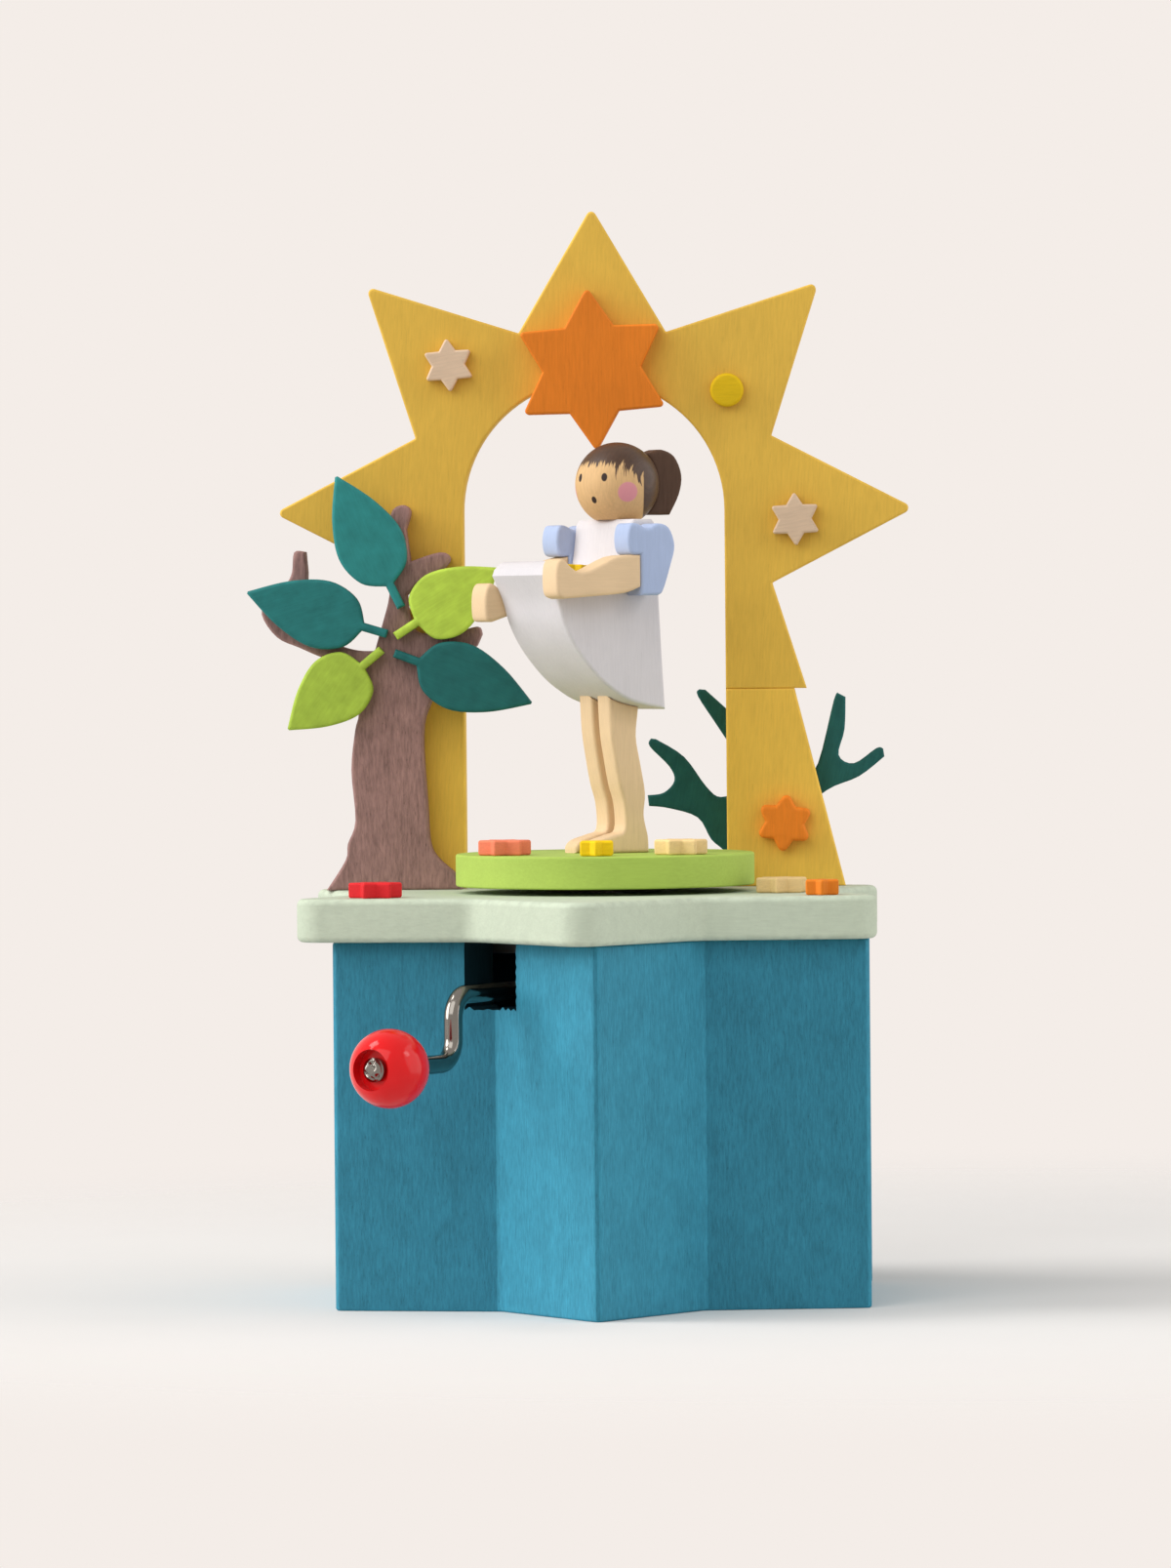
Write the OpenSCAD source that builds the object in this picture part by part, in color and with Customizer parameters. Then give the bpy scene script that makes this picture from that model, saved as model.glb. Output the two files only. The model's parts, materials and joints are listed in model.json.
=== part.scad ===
// Hand-cranked wooden music box: a star-shaped box, a star arch with a tree and a bush,
// and a doll on a turntable that the crank drives through a crown wheel.
// Millimetres. Z up, front towards -Y, origin at the centre of the underside.

/* [Box] */
// Distance from the axis to the sharp tips of the star box
box_tip_r = 50.4; // [49.5:0.1:52]
// Distance from the axis to the valleys of the star box
box_valley_r = 33; // [32.5:0.5:35]
// Rounding of the box tips
box_tip_round = 1; // [0.5:0.1:3]
// Rounding of the box valleys
box_valley_round = 1.5; // [0.5:0.5:3]
// Height of the box
box_h = 59.5; // [55:0.5:70]
// Radius of the round hollow in the box
cavity_r = 27; // [26.8:0.1:28]
// Radius of the recess that takes the bottom plate
bottom_r = 31; // [30.5:0.1:31.5]
// Thickness of the bottom plate
bottom_t = 4; // [3:0.5:6]
// Width of the crank notch
notch_w = 6.4; // [5:0.1:8]
// Height of the crank notch
notch_h = 11; // [10:0.1:13]

/* [Top plate] */
// Distance from the axis to the sharp tips of the plate
plate_tip_r = 56.4; // [55.5:0.1:58]
// Distance from the axis to the valleys of the plate
plate_valley_r = 36.4; // [35.5:0.1:37.5]
// Rounding of the plate tips
plate_tip_round = 4.5; // [3:0.5:6]
// Rounding of the plate valleys
plate_valley_round = 4; // [1:0.5:6]
// Thickness of the plate
plate_t = 7; // [6:0.5:9]
// Sideways offset of the plate, and of the arch on it, from the box
plate_dx = -2.2; // [-2.4:0.1:0]

/* [Turntable] */
// Radius of the turntable
disc_r = 24.5; // [23:0.1:25]
// Thickness of the turntable
disc_t = 5.3; // [4.5:0.1:7]
// Upper radius of the dark collar below the turntable
collar_r = 10.4; // [8:0.1:14]
// Thickness of the collar
collar_t = 0.8; // [0.6:0.1:2]
// Width of the bevel on the collar
collar_bevel = 0.6; // [0.2:0.1:1]
// Running gap between the collar and the plate
collar_gap = 0.3; // [0.3:0.05:0.6]
// Radius of the spindle
spindle_r = 1.5; // [1.2:0.1:1.6]
// Depth of the spindle's hole in the turntable
spindle_in = 3.5; // [2.5:0.1:4]
// Outer radius of the spindle bush
bush_r = 3; // [2.5:0.1:3.5]
// Radius of the bush flange under the plate
flange_r = 4.5; // [4:0.1:6]
// Thickness of the bush flange
flange_t = 1.5; // [1:0.1:1.7]

/* [Arch] */
// Distance of the arch's front face behind the axis
arch_y = 22.5; // [22:0.1:22.6]
// Thickness of the arch board
arch_t = 5.5; // [4.5:0.1:5.6]
// Height of the star's centre above the plate
arch_rise = 62.9; // [60:0.1:68]
// Distance from the star's centre to its tips
arch_tip_r = 53.4; // [48:0.1:56]
// Distance from the star's centre to its topmost tip
arch_crown_r = 50.6; // [46:0.1:54]
// Distance from the star's centre to its valleys
arch_valley_r = 32.1; // [31:0.1:34]
// Rounding of the star's tips
arch_round = 0.8; // [0.3:0.1:2]
// Radius of the round opening
arch_open_r = 21.8; // [20:0.1:22.5]
// Height of the leg boards
arch_leg_h = 33; // [30:0.1:36]
// Width of a leg at its top
leg_top_w = 11.4; // [10:0.1:12]
// Width of a leg at its foot
leg_foot_w = 19.7; // [17:0.1:20]
// Radius of the dowels in the legs
dowel_r = 1.5; // [1:0.1:2]
// Depth of a dowel in each piece
dowel_in = 5; // [4:0.1:5.5]

/* [Stars] */
// Tip radius of the big orange star on the arch
big_star_r = 13.7; // [12:0.1:15]
// Thickness of the big star
big_star_t = 4; // [3:0.1:5]
// Height of the big star's centre above the arch star's centre
big_star_up = 23.4; // [22.5:0.1:25]
// Tilt of the big star
big_star_tilt = 3; // [-10:1:10]
// Tip radius of the small flat stars
star_r = 4.6; // [3.5:0.1:4.8]
// Tip radius of the smallest flat stars
small_star_r = 3.3; // [2.5:0.1:4]
// Thickness of the small flat stars
star_t = 2.5; // [2:0.1:3]
// Thickness of the star on the doll's lap
lap_star_t = 1.5; // [1.2:0.1:2.5]
// Tip radius of the star on the doll's lap
lap_star_r = 2.8; // [2.4:0.1:3]
// Tip radius of the rounded star on the leg
leg_star_r = 5.4; // [4:0.1:5.6]
// Radius of the yellow button
button_r = 2.8; // [2:0.1:4]
// Thickness of the yellow button
button_t = 2; // [1.5:0.1:3]

/* [Tree and bush] */
// Height of the tree
tree_h = 64; // [60:0.1:66]
// Width of the tree over its branches
tree_w = 36.6; // [35:0.1:38]
// Thickness of the tree board
tree_t = 5.5; // [5:0.1:5.6]
// Length of the dark leaves
leaf_l = 24.2; // [22:0.1:25]
// Length of the light leaves
light_leaf_l = 20.4; // [18:0.1:21.5]
// Half width of a leaf
leaf_w = 5.7; // [5:0.1:6]
// Thickness of a leaf
leaf_t = 3; // [2:0.1:3]
// Half width of a leaf stalk
stalk_w = 0.7; // [0.5:0.1:1.2]
// Length of a leaf stalk
stalk_l = 4.2; // [2.5:0.1:4.6]
// Height of the bush
bush_h = 33; // [30:0.1:36]
// Width of the bush
bush_w = 39.7; // [36:0.1:40]
// Thickness of the bush board
bush_t = 2.2; // [1.8:0.1:2.2]

/* [Doll] */
// Direction the doll faces, seen from above
doll_turn = 215; // [0:1:360]
// Height of the dress hem above the turntable
leg_h = 23.5; // [21:0.1:26]
// Thickness of a leg board
leg_t = 3.8; // [3:0.1:4.5]
// Gap between the legs
leg_gap = 1.6; // [1:0.1:3]
// Width of the dress
dress_w = 17; // [16:0.1:17.4]
// Height of the dress
dress_h = 31.1; // [30:0.1:33]
// Thickness of a sleeve and its arm
arm_t = 4.7; // [4:0.1:4.8]
// How far the right hand hangs lower
hand_drop = 3.9; // [0:0.1:5]
// Radius of the head
head_r = 6.9; // [6:0.1:7.5]
// Height of the head's centre above the dress
head_up = 5.8; // [4.5:0.1:5.9]
// How far the head's centre sits behind the axis
head_back = 3; // [2.5:0.1:3.5]
// Thickness of the ponytail board
tail_t = 4; // [3:0.1:6]
// Radius of the neck dowel
neck_r = 1.2; // [0.8:0.1:1.6]
// Depth of the neck dowel in each piece
neck_in = 4; // [3:0.1:5]
// Radius of the foot pins
pin_r = 0.9; // [0.6:0.1:1.2]
// Depth of the foot pins in each piece
pin_in = 3; // [2:0.1:3.5]

/* [Crank] */
// Direction of the crank, seen from above
crank_az = 240; // [240:1:240]
// Drop of the crank shaft below the plate
crank_drop = 8; // [7.8:0.1:8.4]
// Radius of the crank wire
wire_r = 1.5; // [1.3:0.05:1.55]
// Distance of the crank arm from the axis
arm_x = 46; // [43:0.5:50]
// Distance between the crank shaft and the handle
throw = 10.8; // [9:0.1:14]
// Radius of the wire bends, on the centre line
bend_r = 3.8; // [2.5:0.1:4]
// Distance of the knob's centre from the axis
knob_x = 64.5; // [61:0.5:70]
// Radius of the knob
knob_r = 6.3; // [5.5:0.1:7.5]
// Radius of the open recess at the knob's outer end
recess_r = 3.3; // [2.6:0.1:3.5]
// Depth of the recess
recess_in = 2.8; // [2.4:0.1:4]
// Radius of the retaining washer in the recess
washer_r = 2.2; // [2:0.1:2.5]
// Thickness of the retaining washer
washer_t = 0.7; // [0.5:0.1:1]

/* [Movement] */
// Thickness of the bedplate
bed_t = 2.4; // [2:0.1:2.6]
// Radius of the bedplate's rounded ends
bed_r = 26.2; // [25.8:0.1:26.4]
// Length of the bedplate along the crank shaft
bed_l = 42; // [41:0.1:43]
// Width of the bedplate across the crank shaft
bed_w = 40.5; // [40:0.1:41]
// Thickness of the bearing lugs
lug_t = 2.5; // [2:0.1:3]
// Width of the bearing lugs
lug_w = 7; // [6.5:0.1:7.2]
// Number of pinion teeth
pinion_n = 8; // [8:1:8]
// Number of crown wheel teeth
crown_n = 24; // [24:1:24]
// Pitch of the gear teeth, divided by pi
gear_m = 0.8; // [0.76:0.01:0.82]
// Width of the gear teeth
gear_w = 2; // [1.5:0.1:2.2]
// Number of worm wheel teeth
wheel_n = 20; // [20:1:20]
// Axial pitch of the worm
worm_p = 2.2; // [2.1:0.01:2.25]
// Mean radius of the worm
worm_r = 2.6; // [2.5:0.05:2.7]
// Depth of the worm thread from its mean radius
worm_e = 0.6; // [0.5:0.05:0.6]
// Number of turns of the worm
worm_turns = 4; // [3:1:4]
// Position of the barrel's arbor along the crank shaft
arbor_x = -2; // [-2.4:0.1:-1.6]
// Radius of the barrel's arbor
arbor_r = 1.2; // [1:0.1:1.4]
// Radius of the barrel
barrel_r = 6.2; // [5.5:0.1:6.4]
// Length of the barrel
barrel_l = 16; // [15.5:0.1:16.2]
// Height of the barrel's pins
pick_h = 0.6; // [0.4:0.1:0.7]
// Number of comb teeth
comb_n = 18; // [18:1:18]
// Spacing of the comb teeth
comb_p = 0.85; // [0.82:0.01:0.87]
// Thickness of the comb
comb_t = 0.8; // [0.6:0.1:1]
// Gap between the comb's tips and the barrel's pins
comb_gap = 0.2; // [0.15:0.05:0.5]
// Shank radius of the movement's screws
screw_r = 1.1; // [0.8:0.1:1.3]
// Head radius of the movement's screws
screw_head_r = 2.1; // [1.8:0.1:2.4]
// Head height of the movement's screws
screw_head_t = 1.3; // [1:0.1:1.6]
// Depth of the screws in the wood
screw_in = 4.5; // [3:0.1:5.5]

/* [Fits] */
// Radial clearance of running shafts
run_gap = 0.05; // [0.02:0.01:0.1]

/* [Hidden] */
$fn = 64;
plate_z = box_h + plate_t;
disc_z = plate_z + collar_gap + collar_t;
deck_z = disc_z + disc_t;
crank_z = box_h - crank_drop;
hem_z = deck_z + leg_h;
dress_z = hem_z + dress_h;
head_z = dress_z + head_up;
arch_z = plate_z + arch_rise;
seam_z = plate_z + arch_leg_h;
tree_y = arch_y - tree_t;
leaf_y = tree_y - leaf_t;
arch_x = plate_dx;
tree_x = arch_x - arch_open_r - 0.59 * leg_foot_w;
tree_kx = tree_w / 36.6;
tree_k = tree_h / 64;
bush_x = arch_x + arch_open_r + 0.27 * leg_foot_w;
bush_kx = bush_w / 38.9;
bush_k = bush_h / 33;
leg_k = leg_h / 23.5;
dress_k = dress_h / 31.1;
bed_z = box_h - bed_t;
pinion_r = gear_m * pinion_n / 2;
crown_r = gear_m * crown_n / 2;
crown_z = crank_z + pinion_r + 1.2 * gear_m;
crown_t = 1.1;
wheel_r = worm_p * wheel_n / (2 * PI);
arbor_drop = worm_r + wheel_r + 0.15;
arbor_z = crank_z - arbor_drop;
bed_out = 20;
bed_side = 22.5;
barrel_y = 2.8;
lug_a = barrel_y + barrel_l + 0.7;
lug_b = -13;
lug_in = -12;
lug_out = 13.8;
comb_x = arbor_x + barrel_r + pick_h + comb_gap;
comb_back = 17.5;
comb_root = 13;
comb_w = comb_n * comb_p;
comb_in = 0.9;
bed_holes = [[-18, -14], [18, -14], [-15, 19]];
bottom_screw_r = (cavity_r + bottom_r) / 2;
knob_end = knob_x + knob_r - recess_in;

// Piece to draw, or all

// Outline helpers
function polar(r, a) = [r * cos(a), r * sin(a)];
function unit(v) = v / norm(v);
function turn(a) = a - 360 * round(a / 360);

// Star with n tips, the first tip at angle a
function star(n, tip, valley, a) =
    [for (i = [0 : 2 * n - 1]) polar(i % 2 == 0 ? tip : valley, a + i * 180 / n)];

// Arc that rounds the corner p between a and b
function corner(a, p, b, r, n) =
    let (
        u = unit(a - p),
        v = unit(b - p),
        h = acos(u * v) / 2,
        t = min(r / tan(h), 0.45 * min(norm(a - p), norm(b - p))),
        q = t * tan(h),
        c = p + unit(u + v) * q / sin(h),
        d = p + u * t - c,
        e = p + v * t - c,
        s = atan2(d[1], d[0]),
        w = turn(atan2(e[1], e[0]) - s)
    )
    [for (k = [0 : n]) c + polar(q, s + w * k / n)];

// Closed outline with its corners rounded, the radii taken in turn
function rounded(p, r, n = 6) =
    let (m = len(p))
    [for (i = [0 : m - 1]) each corner(p[(i + m - 1) % m], p[i], p[(i + 1) % m], r[i % len(r)], n)];

// Smooth open curve through the points
function run(p, n = 4) = [
    for (i = [0 : len(p) - 2])
        let (a = p[max(i - 1, 0)], b = p[i], c = p[i + 1], d = p[min(i + 2, len(p) - 1)])
        for (k = [0 : n - 1])
            let (t = k / n)
            b + t * ((c - a) + t * ((2 * a - 5 * b + 4 * c - d) + t * (3 * b - a - 3 * c + d))) / 2,
    p[len(p) - 1]];

function scaled(p, kx, ky) = [for (q = p) [q[0] * kx, q[1] * ky]];
function moved(p, x, y) = [for (q = p) q + [x, y]];

// Upright board with its front face at y
module upright(y, t) {
    translate([0, y + t, 0])
        rotate([90, 0, 0])
            linear_extrude(height = t)
                children();
}

// Frames of the crank shaft and of the doll
module at_crank() {
    translate([0, 0, crank_z])
        rotate([0, 0, crank_az])
            children();
}

module at_doll() {
    rotate([0, 0, doll_turn])
        children();
}

// Flat six-pointed star lying on a face at height z
module flat_star(p, z, r, a) {
    translate([p[0], p[1], z])
        linear_extrude(height = star_t)
            polygon(rounded(star(6, r, 0.62 * r, a), [0.35, 0.2], 3));
}

// Six-pointed star on the front of the arch, p from the arch star's centre
module wall_star(p, r, t, a, tip) {
    upright(arch_y - t, t)
        polygon(moved(rounded(star(6, r, 0.6 * r, a), [tip, 0.3 * tip], 5), arch_x + p[0],
            arch_z + p[1]));
}

// Screw standing on its head, shank upwards
module screw(l) {
    cylinder(r = screw_head_r, h = screw_head_t);
    translate([0, 0, screw_head_t])
        cylinder(r = screw_r, h = l);
}

// Box
module star_box() {
    color([0.2, 0.47, 0.58])
        difference() {
            linear_extrude(height = box_h)
                polygon(rounded(star(6, box_tip_r, box_valley_r, 30), [box_tip_round, box_valley_round]));
            translate([0, 0, -1])
                cylinder(r = cavity_r, h = box_h + 2);
            translate([0, 0, -1])
                cylinder(r = bottom_r, h = bottom_t + 1);
            rotate([0, 0, crank_az])
                translate([0, -notch_w / 2, box_h - notch_h])
                    cube([box_tip_r, notch_w, notch_h + 1]);
            for (i = [0 : 2])
                rotate([0, 0, 30 + 120 * i])
                    translate([bottom_screw_r, 0, 0])
                        cylinder(r = screw_r, h = bottom_t + screw_in + 0.3);
        }
}

module bottom_plate() {
    color([0.76, 0.62, 0.43])
        difference() {
            cylinder(r = bottom_r, h = bottom_t);
            for (i = [0 : 2])
                rotate([0, 0, 30 + 120 * i])
                    translate([bottom_screw_r, 0, 0]) {
                        translate([0, 0, -1])
                            cylinder(r = screw_r, h = bottom_t + 2);
                        translate([0, 0, -1])
                            cylinder(r = 1.7, h = 2.3);
                    }
        }
}

module bottom_screws() {
    color([0.7, 0.65, 0.5])
        for (i = [0 : 2])
            rotate([0, 0, 30 + 120 * i])
                translate([bottom_screw_r, 0, 0.3]) {
                    difference() {
                        cylinder(r = 1.7, h = 1);
                        translate([-2, -0.2, -1])
                            cube([4, 0.4, 1.5]);
                    }
                    translate([0, 0, 1])
                        cylinder(r = screw_r, h = bottom_t + screw_in - 1);
                }
}

// Top plate
module top_plate() {
    color([0.78, 0.84, 0.75])
        difference() {
            translate([plate_dx, 0, box_h])
                linear_extrude(height = plate_t)
                    polygon(rounded(star(6, plate_tip_r, plate_valley_r, 30),
                        [plate_tip_round, plate_valley_round]));
            translate([0, 0, box_h - 1])
                cylinder(r = bush_r, h = plate_t + 2);
            for (s = [-1, 1])
                translate([arch_x + s * (arch_open_r + leg_foot_w / 2), arch_y + arch_t / 2,
                        plate_z - dowel_in])
                    cylinder(r = dowel_r, h = dowel_in + 1);
            rotate([0, 0, crank_az])
                for (p = bed_holes)
                    translate([p[0], p[1], box_h - 1])
                        cylinder(r = screw_r, h = screw_in + 1);
        }
}

// Arch
function arch_outline() = [for (i = [0 : 15])
    polar(i % 2 == 1 ? arch_valley_r : (i == 4 ? arch_crown_r : arch_tip_r), i * 22.5)];

module arch_top() {
    color([0.83, 0.66, 0.24])
        difference() {
            upright(arch_y, arch_t)
                polygon(moved(rounded(arch_outline(), [arch_round, 0.3], 4), arch_x, arch_z));
            translate([-100, arch_y - 1, seam_z - 100])
                cube([200, arch_t + 2, 100]);
            translate([arch_x, arch_y - 1, arch_z])
                rotate([-90, 0, 0])
                    cylinder(r = arch_open_r, h = arch_t + 2, $fn = 128);
            translate([arch_x - arch_open_r, arch_y - 1, seam_z - 1])
                cube([2 * arch_open_r, arch_t + 2, arch_z - seam_z + 1]);
            for (s = [-1, 1])
                translate([arch_x + s * (arch_open_r + leg_top_w / 2), arch_y + arch_t / 2, seam_z - 1])
                    cylinder(r = dowel_r, h = dowel_in + 1);
        }
}

module arch_leg(s) {
    a = arch_x + s * arch_open_r;
    difference() {
        upright(arch_y, arch_t)
            polygon([[a, plate_z], [a + s * leg_foot_w, plate_z], [a + s * leg_top_w, seam_z],
                [a, seam_z]]);
        translate([a + s * leg_top_w / 2, arch_y + arch_t / 2, seam_z - dowel_in])
            cylinder(r = dowel_r, h = dowel_in + 1);
        translate([a + s * leg_foot_w / 2, arch_y + arch_t / 2, plate_z - 1])
            cylinder(r = dowel_r, h = dowel_in + 1);
    }
}

module arch_leg_left() {
    color([0.83, 0.66, 0.24])
        arch_leg(-1);
}

module arch_leg_right() {
    color([0.83, 0.66, 0.24])
        arch_leg(1);
}

module arch_dowels() {
    color([0.8, 0.65, 0.45])
        for (s = [-1, 1]) {
            translate([arch_x + s * (arch_open_r + leg_top_w / 2), arch_y + arch_t / 2,
                    seam_z - dowel_in])
                cylinder(r = dowel_r, h = 2 * dowel_in);
            translate([arch_x + s * (arch_open_r + leg_foot_w / 2), arch_y + arch_t / 2,
                    plate_z - dowel_in])
                cylinder(r = dowel_r, h = 2 * dowel_in);
        }
}

module arch_orange_star() {
    color([0.88, 0.45, 0.16])
        wall_star([0, big_star_up], big_star_r, big_star_t, 90 + big_star_tilt, 0.6);
}

module arch_cream_stars() {
    color([0.93, 0.88, 0.74]) {
        wall_star(polar(0.64 * arch_tip_r, 134.5), star_r, star_t, 94, 0.35);
        wall_star(polar(0.63 * arch_tip_r, -3), star_r, star_t, 92, 0.35);
    }
}

module arch_button() {
    p = polar(0.56 * arch_tip_r, 41.5);
    color([0.95, 0.8, 0.2])
        translate([arch_x + p[0], arch_y - button_t, arch_z + p[1]])
            rotate([-90, 0, 0])
                cylinder(r = button_r, h = button_t);
}

module leg_orange_star() {
    color([0.88, 0.45, 0.16])
        wall_star([arch_open_r + 0.49 * leg_foot_w, 0.32 * arch_leg_h - arch_rise], leg_star_r,
            star_t, 85, 1.2);
}

// Tree outline from its right root, over the branches, to its left root, at full size
tree_right = run([[11.2, 0], [10.1, 2.5], [7.3, 5.1], [5.9, 7.8], [5.5, 14], [4.9, 25.8],
    [6.2, 31], [9.6, 36], [14, 40.6]]);
tree_right_tip = run([[14.8, 42.4], [14, 43.7], [9.8, 42.6], [4.4, 42.8], [2.9, 45], [2.4, 49]]);
tree_stub = run([[4, 50.8], [8, 53], [9.6, 55], [8, 56.1], [3, 54.6]]);
tree_top = run([[2.3, 60], [3.1, 63], [1.7, 64], [-0.2, 62.3], [-0.3, 55], [-0.5, 49],
    [-1.6, 44.6]]);
tree_arm_in = run([[-3, 39.8], [-6, 39.9], [-9.2, 40.9], [-12.4, 43.4], [-14.2, 46.5], [-14.2, 53]]);
tree_arm_out = run([[-14.5, 56.4], [-16.3, 56.3], [-16.7, 53], [-17.8, 51], [-20.6, 49], [-21.8, 46],
    [-19.3, 42.2], [-15.5, 40.4], [-11.6, 38.7], [-7.6, 37.6]]);
tree_left = run([[-6.2, 34], [-5.8, 29.3], [-6.4, 26.6], [-7.1, 20], [-6.5, 11.6],
    [-7.8, 7.7], [-8.2, 5], [-11.4, 0]]);

module tree_trunk() {
    color([0.51, 0.39, 0.37])
        upright(tree_y, tree_t)
            polygon(moved(scaled(concat(tree_right, tree_right_tip, tree_stub, tree_top,
                tree_arm_in, tree_arm_out, tree_left), tree_kx, tree_k), tree_x, plate_z));
}

// Leaf of length l, its stalk end at x, z on the tree
module leaf(x, z, l, a) {
    side = run([[stalk_l, stalk_w], [0.27 * l, 0.74 * leaf_w], [0.48 * l, leaf_w],
        [0.74 * l, 0.68 * leaf_w], [l, 0.035 * leaf_w]], 6);
    back = [for (i = [len(side) - 1 : -1 : 0]) [side[i][0], -side[i][1]]];
    translate([tree_x + x * tree_kx, 0, plate_z + z * tree_k])
        rotate([0, -a, 0])
            upright(leaf_y, leaf_t)
                polygon(concat([[0, stalk_w]], side, back, [[0, -stalk_w]]));
}

module leaf_top() {
    color([0.13, 0.43, 0.39])
        leaf(1.6, 47, leaf_l, 116);
}

module leaf_left() {
    color([0.13, 0.43, 0.39])
        leaf(-0.8, 42.6, leaf_l, 163);
}

module leaf_right() {
    color([0.65, 0.78, 0.25])
        leaf(0.6, 42.2, light_leaf_l, 33);
}

module leaf_lower_left() {
    color([0.65, 0.78, 0.25])
        leaf(-1.7, 40, light_leaf_l, 220);
}

module leaf_lower_right() {
    color([0.13, 0.43, 0.39])
        leaf(0.4, 39.4, leaf_l, -20.5);
}

// Bush outline from the left of its foot, over the branches, to the right, at full size
bush_low = run([[-3.7, 0], [-5.4, 5.2], [-7.9, 7.7], [-10.1, 11.4], [-14.8, 13], [-18.1, 13.4]]);
bush_hook = run([[-18.3, 15.2], [-15.7, 15.6], [-13.9, 17.6], [-14.7, 20], [-17.9, 23.4], [-17.7, 24.7]]);
bush_arm = run([[-16.9, 24.6], [-12.3, 21.6], [-8.7, 16.6], [-6.3, 14.8], [-2.7, 16.4],
    [-2.7, 20], [-6.3, 26], [-9.9, 31.7], [-9.7, 32.9]]);
bush_finger = run([[-8.7, 32.8], [-4.3, 28.6], [-0.9, 24.4]]);
bush_mid = run([[0.3, 29], [2.7, 30.4], [4.7, 28], [5.1, 19.6], [7.1, 17.8], [9.7, 20.4], [12.4, 31],
    [13.2, 32]]);
bush_fork = run([[14.3, 31.4], [14.1, 26], [13.1, 21.7], [15.6, 20.3], [19.3, 22.8], [20.4, 22.7]]);
bush_side = run([[20.6, 21.4], [16.4, 18.1], [11.1, 15.8], [6.1, 11], [4.1, 5], [3.7, 0]]);

module bush() {
    color([0.1, 0.3, 0.22])
        upright(arch_y + arch_t, bush_t)
            polygon(moved(scaled(concat(bush_low, bush_hook, bush_arm, bush_finger, bush_mid,
                bush_fork, bush_side), bush_kx, bush_k), bush_x, plate_z));
}

// Stars on the plate
module plate_red_star() {
    color([0.75, 0.2, 0.14])
        flat_star(polar(0.76 * plate_tip_r, 212), plate_z, star_r, 8);
}

module plate_cream_star() {
    color([0.93, 0.88, 0.74])
        flat_star(polar(disc_r + star_r + 1.8, -20), plate_z, star_r, 20);
}

module plate_orange_star() {
    color([0.88, 0.45, 0.16])
        flat_star(polar(0.76 * plate_tip_r, -33.5), plate_z, small_star_r, 30);
}

// Movement hung under the plate
module bedplate() {
    color([0.72, 0.72, 0.7])
        at_crank()
            difference() {
                union() {
                    intersection() {
                        translate([bed_out - bed_l, bed_side - bed_w, crank_drop - bed_t])
                            cube([bed_l, bed_w, bed_t]);
                        cylinder(r = bed_r, h = crank_drop);
                    }
                    for (x = [lug_in - lug_t, lug_out])
                        translate([x, -lug_w / 2, -lug_w / 2])
                            cube([lug_t, lug_w, crank_drop - bed_t + lug_w / 2 + 0.5]);
                    for (y = [lug_a, lug_b - lug_t])
                        translate([arbor_x - 0.4 * lug_w, y, -arbor_drop - lug_w / 2])
                            cube([0.8 * lug_w, lug_t, arbor_drop + crank_drop - bed_t + lug_w / 2 + 0.5]);
                    translate([comb_root, barrel_y + comb_in, comb_t / 2 - arbor_drop])
                        cube([comb_back - comb_root, comb_w,
                            arbor_drop + crank_drop - bed_t - comb_t / 2 + 0.5]);
                }
                translate([0, 0, crank_drop - bed_t - 1])
                    cylinder(r = crown_r + gear_w / 2 + 1.6, h = bed_t + 2);
                translate([-30, 0, 0])
                    rotate([0, 90, 0])
                        cylinder(r = wire_r + run_gap, h = 60);
                translate([arbor_x, -30, -arbor_drop])
                    rotate([-90, 0, 0])
                        cylinder(r = arbor_r + run_gap, h = 60);
                for (p = bed_holes)
                    translate([p[0], p[1], 0])
                        cylinder(r = screw_r, h = crank_drop + 1);
                for (i = [0.25, 0.75])
                    translate([(comb_root + comb_back) / 2, barrel_y + comb_in + i * comb_w, -arbor_drop])
                        cylinder(r = screw_r, h = screw_in + 0.5);
            }
}

module bed_screws() {
    color([0.75, 0.7, 0.55])
        at_crank()
            for (p = bed_holes)
                translate([p[0], p[1], crank_drop - bed_t - screw_head_t])
                    screw(bed_t + screw_in - 0.3);
}

module spindle_bush() {
    color([0.8, 0.65, 0.3])
        difference() {
            union() {
                translate([0, 0, box_h])
                    cylinder(r = bush_r, h = plate_t);
                translate([0, 0, box_h - flange_t])
                    cylinder(r = flange_r, h = flange_t);
            }
            translate([0, 0, box_h - flange_t - 1])
                cylinder(r = spindle_r + run_gap, h = plate_t + flange_t + 2);
        }
}

module comb() {
    color([0.7, 0.72, 0.75])
        at_crank()
            translate([0, barrel_y + comb_in, -arbor_drop - comb_t / 2])
                difference() {
                    translate([comb_x, 0, 0])
                        cube([comb_back - comb_x, comb_w, comb_t]);
                    for (i = [1 : comb_n - 1])
                        translate([comb_x - 1, i * comb_p - 0.15, -1])
                            cube([comb_root - 2.5 + 2 * i / comb_n - comb_x + 1, 0.3, comb_t + 2]);
                    for (i = [0.25, 0.75])
                        translate([(comb_root + comb_back) / 2, i * comb_w, -1])
                            cylinder(r = screw_r, h = comb_t + 2);
                }
}

module comb_screws() {
    color([0.75, 0.7, 0.55])
        at_crank()
            for (i = [0.25, 0.75])
                translate([(comb_root + comb_back) / 2, barrel_y + comb_in + i * comb_w,
                        -arbor_drop - comb_t / 2 - screw_head_t])
                    screw(comb_t + screw_in - 1);
}

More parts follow.
